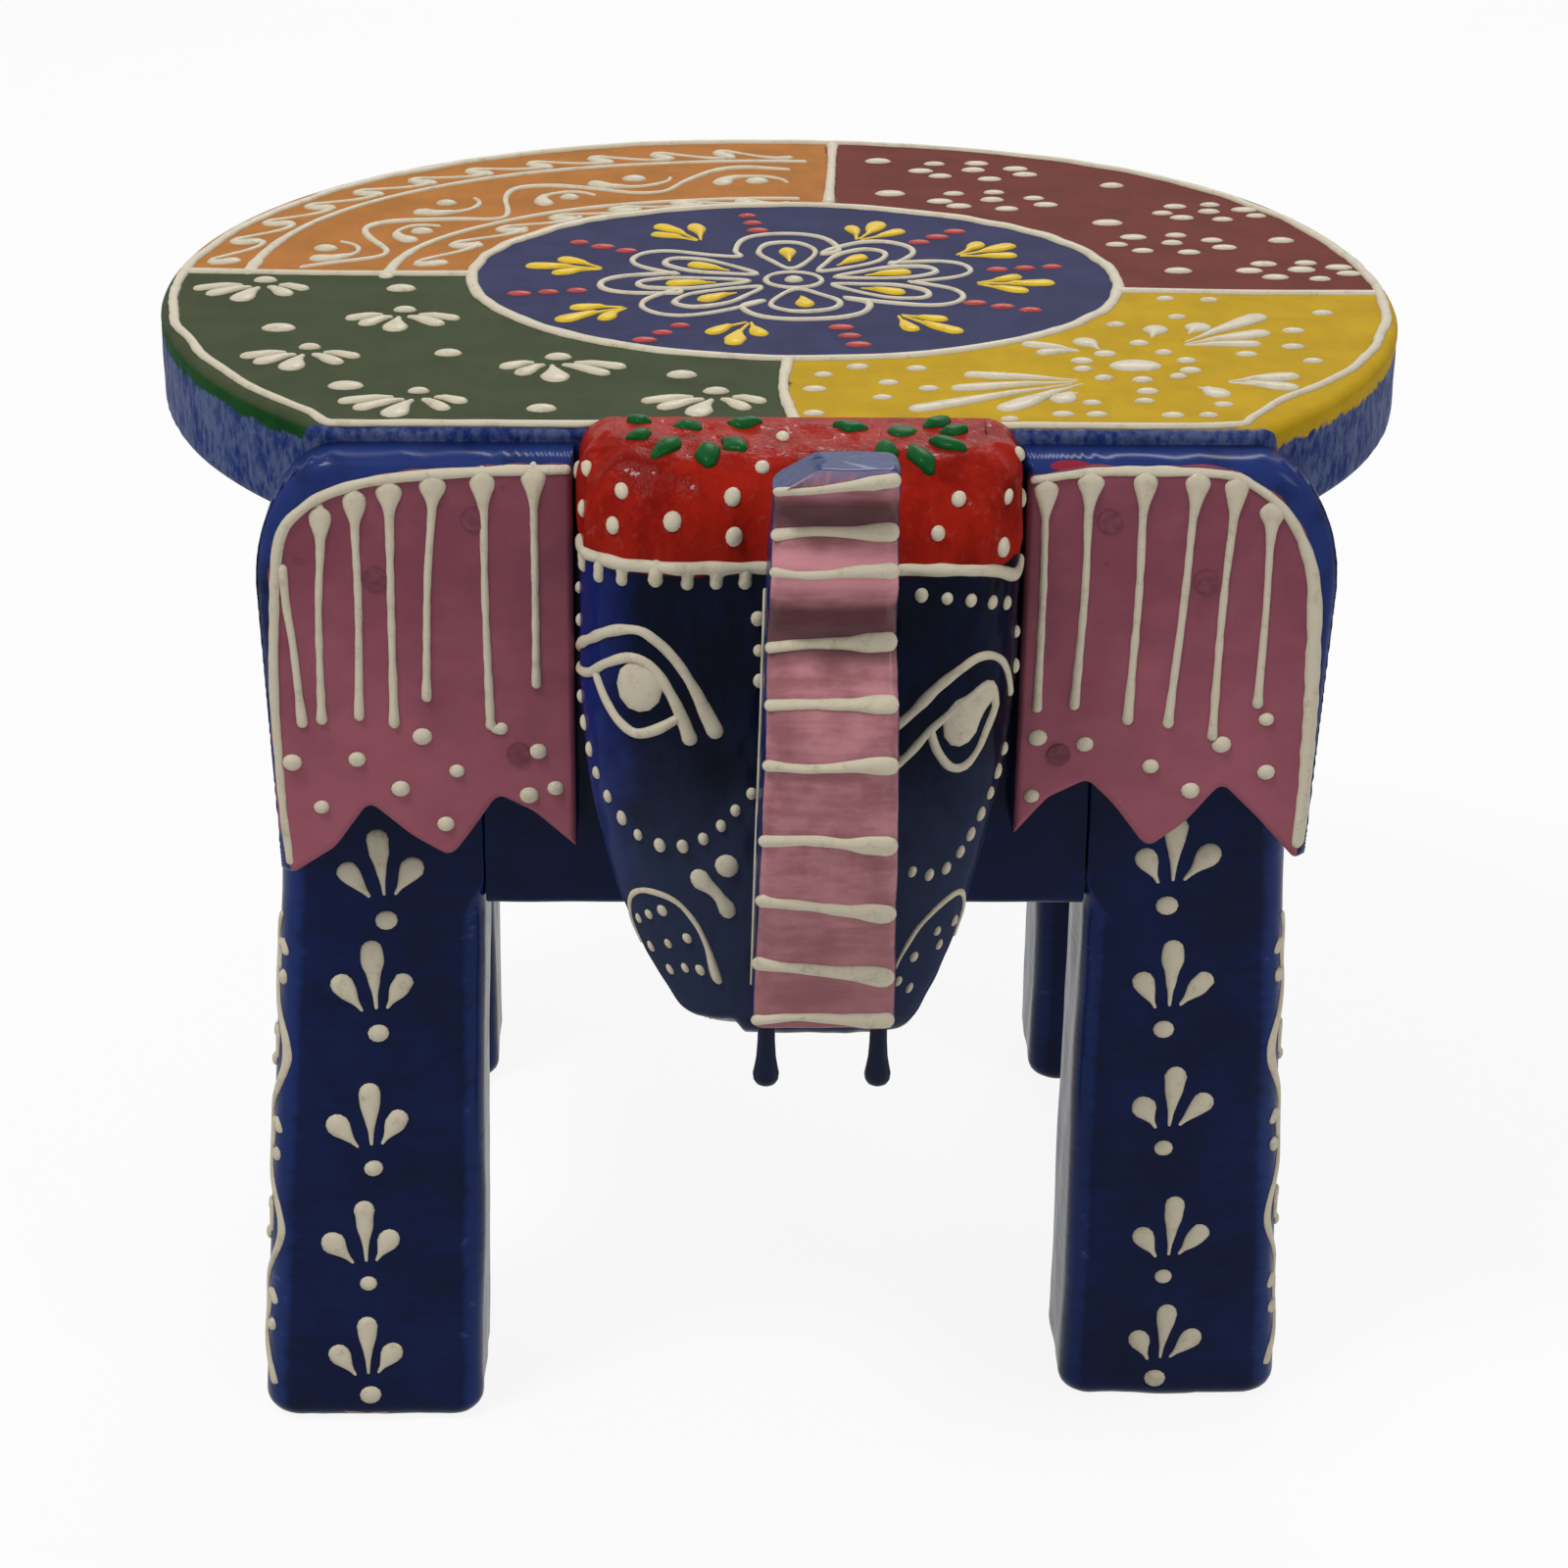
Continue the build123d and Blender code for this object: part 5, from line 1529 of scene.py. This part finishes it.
def ear_finish(settings):
    """Pink boards, blotched and darker in places, with glossy blue edges."""
    p = Finish("ear paint")
    across = p.noise(1.6, 5.0, p.squeezed(0.4, 1.0, 0.7))
    cloud = p.noise(9.0, 5.0)
    low = (100 - p.z).step(-22, 22)
    shades = (across * 0.2 + cloud * 0.5 + low * 0.3).step(0.25, 0.75)
    pink = p.mix(shades, settings.ear_dark, settings.ear_pink)
    smudge = p.noise(4.0, 3.0).step(0.70, 0.74)
    pink = p.mix(smudge * 0.4, pink, shaded(settings.maroon, 0.8))
    x, z, half_width, half_height = RED_SMEAR
    along, up = (p.x - x) / half_width, (p.z - z) / half_height
    smear = (1.0 - along * along - up * up + (cloud - 0.5) * 1.5).step(0, 0.3)
    blue = p.mix(cloud.step(0.25, 0.55), settings.navy, settings.side_blue)
    blue = p.mix(smear * 0.8, blue, settings.red)
    front = p.attribute("front").step(0.4, 0.6)
    return p.done(p.mix(front, blue, pink), 0.30 + 0.12 * across, across * 0.5 + cloud * 0.5, 0.08, coat=0.18)


def head_finish(settings):
    """A glossy red cap over a face that goes from bright blue at its left edge to near black; that bright
    blue is partly paint and partly painted light from the left.
    """
    p = Finish("head paint")
    upright = p.noise(0.9, 4.0, p.squeezed(1.0, 1.0, 0.22))
    cloud = p.noise(6.0, 4.0)
    # Bright blue along the face's left edge: partly paint, partly painted light from the left.
    lit = (-19.0 - p.x + (cloud - 0.5) * 8.0).step(-3.5, 4.5)
    dark = p.mix((upright * 0.5 + cloud * 0.5).step(0.40, 0.7), settings.ink, settings.navy)
    face = p.mix(lit, dark, settings.face_lit_blue)
    low = (92 - p.z + (cloud - 0.5) * 16).step(-10, 14)
    face = p.mix(low * 0.24, face, settings.side_film)
    stain = (cloud * 0.75 + upright * 0.25).step(0.42, 0.68)
    red = p.mix(stain, settings.red, settings.red_dark)
    cap = (p.z - CAP_Z + (p.noise(4.0, 2.0) - 0.5) * 1.6).step(-0.25, 0.25)
    fine = p.noise(0.7, 2.0)
    pooled = p.noise(1.0, 2.0).step(0.60, 0.66)
    coat = 0.13 - 0.13 * cap + 0.34 * pooled * cap
    relief = upright * 0.4 + cloud * 0.3 + fine * cap * 0.5
    return p.done(p.mix(cap, face, red), 0.18 + 0.12 * upright, relief, 0.2, coat=coat, mirror=0.02)


def trunk_finish(settings):
    """Pink front with painted shade in its hollows and towards its foot and a painted highlight on its crest,
    blue sides that stray over the front's edges.
    """
    p = Finish("trunk paint")
    grain = p.noise(1.3, 4.0, p.squeezed(0.2, 1.0, 1.0))
    cloud = p.noise(5.0, 4.0)
    pink = p.mix((grain * 0.4 + cloud * 0.6).step(0.36, 0.66), settings.trunk_tone_and_shade, settings.trunk_pink)
    hollow_shade = sum((p.z - low).step(0, 2.5) * (high - p.z).step(0, 2.5) for low, high in TRUNK_SHADED_HOLLOWS)
    # A painted highlight on the band of the trunk's front that faces upwards.
    low, high = TRUNK_LIT_BAND
    crest_highlight = (p.z - low).step(0, 2) * (high - p.z).step(0, 2)
    pink = p.mix(crest_highlight * 0.7, pink, shaded(settings.trunk_pink, 1.45))
    # Painted shade: darker towards the foot, where the front faces downwards.
    pink = p.mix((80 - p.z).step(-16, 16) * 0.6, pink, settings.trunk_tone_and_shade)
    # Painted shade in the trunk's two hollows, where its front turns downwards under the bulges above.
    pink = p.mix(hollow_shade * 0.85, pink, shaded(settings.trunk_tone_and_shade, 0.24))
    upright = p.noise(0.8, 4.0, p.squeezed(1.0, 1.0, 0.2))
    tip = (p.z - TIP_FILM + (upright - 0.5) * 6.0).step(-0.8, 1.4)
    pink = p.mix(tip * 0.75, pink, settings.side_film)
    front = (p.attribute("front") + (cloud - 0.5) * 0.6).step(0.40, 0.62)
    blue = p.mix(upright.step(0.3, 0.75) * 0.7, settings.side_blue, settings.navy)
    return p.done(p.mix(front, blue, pink), 0.26 + 0.12 * grain, grain * 0.6 + cloud * 0.4, 0.10, coat=0.28)


# ---- The add-on ----


def colour_property(name, description, red, green, blue):
    """A paint colour that the user can change."""
    return bpy.props.FloatVectorProperty(
        name=name, description=description, default=srgb(red, green, blue),
        subtype="COLOR", size=4, min=0.0, max=1.0,
    )


class StoolSettings(bpy.types.PropertyGroup):
    """Sizes and colours of the carving and its paint."""

    carving: bpy.props.FloatProperty(
        name="Carving Depth", description="Share of the full depth of tool and brush marks on the rim",
        default=1.0, min=0.0, max=1.5, subtype="FACTOR",
    )
    line_width: bpy.props.FloatProperty(
        name="Line Width", description="Width of the raised lines between the seat's fields",
        default=0.0011, min=0.0004, max=0.003, unit="LENGTH", subtype="DISTANCE",
    )
    cream: colour_property("Cream", "Raised lines, drops and dots", 198, 189, 167)
    yellow: colour_property("Yellow Drops", "Drops in the middle of the seat", 216, 182, 44)
    rose: colour_property("Rose Dots", "Red dots in the middle of the seat", 176, 70, 62)
    leaf: colour_property("Leaf Green", "Flowers on the cap", 8, 78, 30)
    orange: colour_property("Orange Ground", "The seat's back left field", 168, 111, 58)
    green: colour_property("Green Ground", "The seat's front left field", 64, 72, 52)
    green_edge: colour_property("Green Edge", "Green paint over the seat's edge", 24, 66, 30)
    maroon: colour_property("Maroon Ground", "The seat's back right field", 106, 55, 50)
    yellow_ground: colour_property("Yellow Ground", "The seat's front right field", 182, 148, 34)
    centre: colour_property("Centre Ground", "The oval in the middle of the seat", 56, 58, 88)
    side_blue: colour_property("Side Blue", "The seat's side", 28, 46, 104)
    side_film: colour_property("Side Film", "Greyed blue in the side's brush marks", 80, 92, 128)
    navy: colour_property("Navy", "Legs and boards", 4, 15, 46)
    mid_blue: colour_property("Middle Blue", "Lighter brush marks on the legs", 9, 26, 72)
    # Partly paint, partly the painted highlight on the legs' rounded outer corners.
    edge_blue_and_highlight: colour_property("Edge Blue", "The legs' outer corners", 20, 44, 102)
    # Partly paint, partly the painted light on the face's left edge.
    face_lit_blue: colour_property("Face Blue", "The left edge of the face", 16, 32, 98)
    ink: colour_property("Ink Blue", "The middle of the face", 3, 8, 26)
    ear_pink: colour_property("Ear Pink", "The ears' front", 149, 84, 97)
    ear_dark: colour_property("Ear Shade", "Darker paint on the ears", 119, 62, 76)
    red: colour_property("Cap Red", "The cap", 152, 30, 18)
    red_dark: colour_property("Cap Shade", "Stains on the cap", 118, 20, 14)
    trunk_pink: colour_property("Trunk Pink", "The trunk's front", 184, 126, 133)
    # Darker paint in blotches, and also the painted shade in the trunk's hollows and towards its foot.
    trunk_tone_and_shade: colour_property("Trunk Shade", "Darker paint on the trunk", 142, 90, 96)


class StoolOperator:
    """What the stool's operators share: they read the scene's settings and make their pieces."""

    bl_options = {"REGISTER", "UNDO"}

    def execute(self, context):
        self.build(context.scene.stool)
        return {"FINISHED"}


class STOOL_OT_seat(StoolOperator, bpy.types.Operator):
    """Make the seat board and the raised paint on it"""

    bl_idname = "stool.seat"
    bl_label = "Seat"

    def build(self, settings):
        seat_board(settings)
        seat_relief(settings)


class STOOL_OT_frame(StoolOperator, bpy.types.Operator):
    """Make the legs, aprons and side rails with their fans and vines"""

    bl_idname = "stool.frame"
    bl_label = "Legs and Boards"

    def build(self, settings):
        stool_frame(settings)


class STOOL_OT_ears(StoolOperator, bpy.types.Operator):
    """Make the two ears and their cream stripes"""

    bl_idname = "stool.ears"
    bl_label = "Ears"

    def build(self, settings):
        ears(settings)


class STOOL_OT_head(StoolOperator, bpy.types.Operator):
    """Make the head with its cap, eyes and cheeks"""

    bl_idname = "stool.head"
    bl_label = "Head"

    def build(self, settings):
        head_block().make("head_block", head_finish(settings), "head_paint", ["head"])
        head_relief(settings)


class STOOL_OT_trunk(StoolOperator, bpy.types.Operator):
    """Make the trunk with its cross lines, and the two tusks under it"""

    bl_idname = "stool.trunk"
    bl_label = "Trunk and Tusks"

    def build(self, settings):
        trunk_block().make("trunk_block", trunk_finish(settings), "trunk_paint", ["trunk"])
        trunk_relief(settings)
        paint = plain_finish("painted nail", settings.navy, 0.3, 0.0, 1.2)
        for node in ("left_tusk", "right_tusk"):
            tusk_block(node).make(node + "_nail", paint, "painted_nail", [node])


class STOOL_OT_tail(StoolOperator, bpy.types.Operator):
    """Make the tail on the back of the stool"""

    bl_idname = "stool.tail"
    bl_label = "Tail"

    def build(self, settings):
        tail_strip().make("tail_strip", blue_finish(settings), "blue_paint", ["tail"])
        tail_relief(settings)


class STOOL_OT_fixings(StoolOperator, bpy.types.Operator):
    """Give the nails, screws, dowels and fillers their finishes"""

    bl_idname = "stool.fixings"
    bl_label = "Nails and Dowels"

    def build(self, settings):
        painted = plain_finish("ear nail paint", settings.ear_dark, 0.34, 0.0, 0.9)
        steel = plain_finish("steel wire", srgb(172, 172, 170), 0.32, 1.0, 0.7)
        wood = wood_finish("dowel wood", srgb(204, 164, 112), srgb(158, 112, 66), "Y")
        filler = plain_finish("wood filler", srgb(206, 184, 142), 0.7, 0.0, 0.6)
        for node, material in (
            ("ear_nails", painted), ("seat_nails", steel), ("head_screws", steel), ("tail_nails", steel),
            ("frame_dowels", wood), ("trunk_dowels", wood), ("seat_fillers", filler),
        ):
            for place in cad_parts[node].material_slots:
                place.material = material


class STOOL_OT_stage(StoolOperator, bpy.types.Operator):
    """Set the floor, the lamps, the world and the camera"""

    bl_idname = "stool.stage"
    bl_label = "Stage"

    def build(self, settings):
        bpy.context.scene.view_settings.view_transform = "Standard"
        pale_floor()
        white_world()
        lamps()
        front_camera()


FLOOR_HALF = 4.0                # half the floor's width, in metres
FLOOR_GLOW = 0.9                # how white the floor is to rays that see it straight or reflected
WORLD_LIGHT = 0.42
LAMP_AIM = (0.0, 0.0, 0.08)     # in metres
# Each lamp's place in metres, its power in watts, and its width in metres
LAMPS = {
    "key": ((-0.45, -0.35, 1.05), 7.0, 0.27),
    "fill": ((0.75, -0.65, 0.65), 2.4, 0.35),
    "back": ((0.15, 0.85, 0.85), 4.0, 0.45),
}
CAMERA_PLACE = (-12.55, -441.35, 257.08)        # in millimetres
CAMERA_YAW = -0.03107           # in radians, as are the next two
CAMERA_PITCH = 0.41521
CAMERA_ROLL = 0.01412
CAMERA_LENS = 85.5              # millimetres, on a sensor 36 wide


def emptied(owner):
    """The node tree of a material or world, with no node in it."""
    owner.use_nodes = True
    owner.node_tree.nodes.clear()
    return owner.node_tree


def direct_rays(tree):
    """A socket that is 1 for rays from the camera, off a gloss or through a clear body, and otherwise 0."""
    rays = tree.nodes.new("ShaderNodeLightPath")
    total = rays.outputs["Is Camera Ray"]
    for name in ("Is Glossy Ray", "Is Transmission Ray"):
        either = tree.nodes.new("ShaderNodeMath")
        either.operation = "MAXIMUM"
        tree.links.new(total, either.inputs[0])
        tree.links.new(rays.outputs[name], either.inputs[1])
        total = either.outputs[0]
    return total


def mixed(tree, first, second, output):
    """Mix two shaders into the tree's output; the socket for the second one's share."""
    mix, end = tree.nodes.new("ShaderNodeMixShader"), tree.nodes.new(output)
    tree.links.new(first.outputs[0], mix.inputs[1])
    tree.links.new(second.outputs[0], mix.inputs[2])
    tree.links.new(mix.outputs[0], end.inputs[0])
    return mix.inputs[0]


def pale_floor():
    """A grey floor that direct rays see nearly white."""
    mesh = bpy.data.meshes.new("floor")
    corners = [(FLOOR_HALF * x, FLOOR_HALF * y, 0) for x, y in ((-1, -1), (1, -1), (1, 1), (-1, 1))]
    mesh.from_pydata(corners, [], [(0, 1, 2, 3)])
    floor = placed(bpy.data.objects.new("floor", mesh))
    material = bpy.data.materials.new("floor")
    tree = emptied(material)
    diffuse, glow = tree.nodes.new("ShaderNodeBsdfDiffuse"), tree.nodes.new("ShaderNodeEmission")
    diffuse.inputs["Color"].default_value = (0.80, 0.80, 0.80, 1)
    glow.inputs["Color"].default_value = (1, 1, 1, 1)
    glow_share = mixed(tree, diffuse, glow, "ShaderNodeOutputMaterial")
    times = tree.nodes.new("ShaderNodeMath")
    times.operation = "MULTIPLY"
    tree.links.new(direct_rays(tree), times.inputs[0])
    times.inputs[1].default_value = FLOOR_GLOW
    tree.links.new(times.outputs[0], glow_share)
    mesh.materials.append(material)


def white_world():
    """Even light from all round, and a white background to direct rays."""
    world = bpy.data.worlds.new("studio")
    bpy.context.scene.world = world
    tree = emptied(world)
    light, white = tree.nodes.new("ShaderNodeBackground"), tree.nodes.new("ShaderNodeBackground")
    light.inputs["Strength"].default_value = WORLD_LIGHT
    white.inputs["Color"].default_value = (1, 1, 1, 1)
    white.inputs["Strength"].default_value = 1.0
    white_share = mixed(tree, light, white, "ShaderNodeOutputWorld")
    tree.links.new(direct_rays(tree), white_share)


def placed(thing, place=None, ahead=None, roll=0.0):
    """Link an object to the scene and, given a place and a direction, stand it there looking ahead."""
    bpy.context.scene.collection.objects.link(thing)
    if place is not None:
        thing.matrix_world = looking(place, ahead, roll)
    return thing


def lamps():
    """A key lamp from the front left, a weaker one from the right, and one from behind."""
    for name, (place, power, size) in LAMPS.items():
        lamp = bpy.data.lights.new(name, "AREA")
        lamp.energy, lamp.size = power, size
        placed(bpy.data.objects.new(name, lamp), np.array(place), np.array(LAMP_AIM) - place)


def front_camera():
    """A camera before the face, looking down at it."""
    camera = bpy.data.cameras.new("camera")
    camera.lens, camera.sensor_width = CAMERA_LENS, 36.0
    level = np.cos(CAMERA_PITCH)
    ahead = np.array((-np.sin(CAMERA_YAW) * level, np.cos(CAMERA_YAW) * level, -np.sin(CAMERA_PITCH)))
    holder = bpy.data.objects.new("camera", camera)
    bpy.context.scene.camera = placed(holder, np.array(CAMERA_PLACE) * MM, ahead, CAMERA_ROLL)


def looking(place, ahead, roll):
    """The matrix of something at a place that looks ahead, its level turned by roll."""
    ahead = ahead / np.linalg.norm(ahead)
    right = np.cross(ahead, (0, 0, 1))
    right /= np.linalg.norm(right)
    up = np.cross(right, ahead)
    side = np.cos(roll) * right + np.sin(roll) * up
    top = np.cos(roll) * up - np.sin(roll) * right
    matrix = np.eye(4)
    matrix[:3] = np.column_stack([side, top, -ahead, place])
    return Matrix(matrix.tolist())


OPERATORS = (
    STOOL_OT_seat, STOOL_OT_frame, STOOL_OT_ears, STOOL_OT_head, STOOL_OT_trunk, STOOL_OT_tail,
    STOOL_OT_fixings, STOOL_OT_stage,
)


class STOOL_PT_panel(bpy.types.Panel):
    """Lists the stool's settings and operators"""

    bl_idname = "STOOL_PT_panel"
    bl_label = "Painted Elephant Stool"
    bl_space_type = "VIEW_3D"
    bl_region_type = "UI"
    bl_category = "Stool"

    def draw(self, context):
        for name in StoolSettings.__annotations__:
            self.layout.prop(context.scene.stool, name)
        for operator in OPERATORS:
            self.layout.operator(operator.bl_idname)


CLASSES = (StoolSettings, *OPERATORS, STOOL_PT_panel)


def register():
    for item in CLASSES:
        bpy.utils.register_class(item)
    bpy.types.Scene.stool = bpy.props.PointerProperty(type=StoolSettings)


def unregister():
    del bpy.types.Scene.stool
    for item in reversed(CLASSES):
        bpy.utils.unregister_class(item)


def main():
    register()
    for operator in OPERATORS:
        group, name = operator.bl_idname.split(".")
        getattr(getattr(bpy.ops, group), name)()


if __name__ == "__main__":
    main()
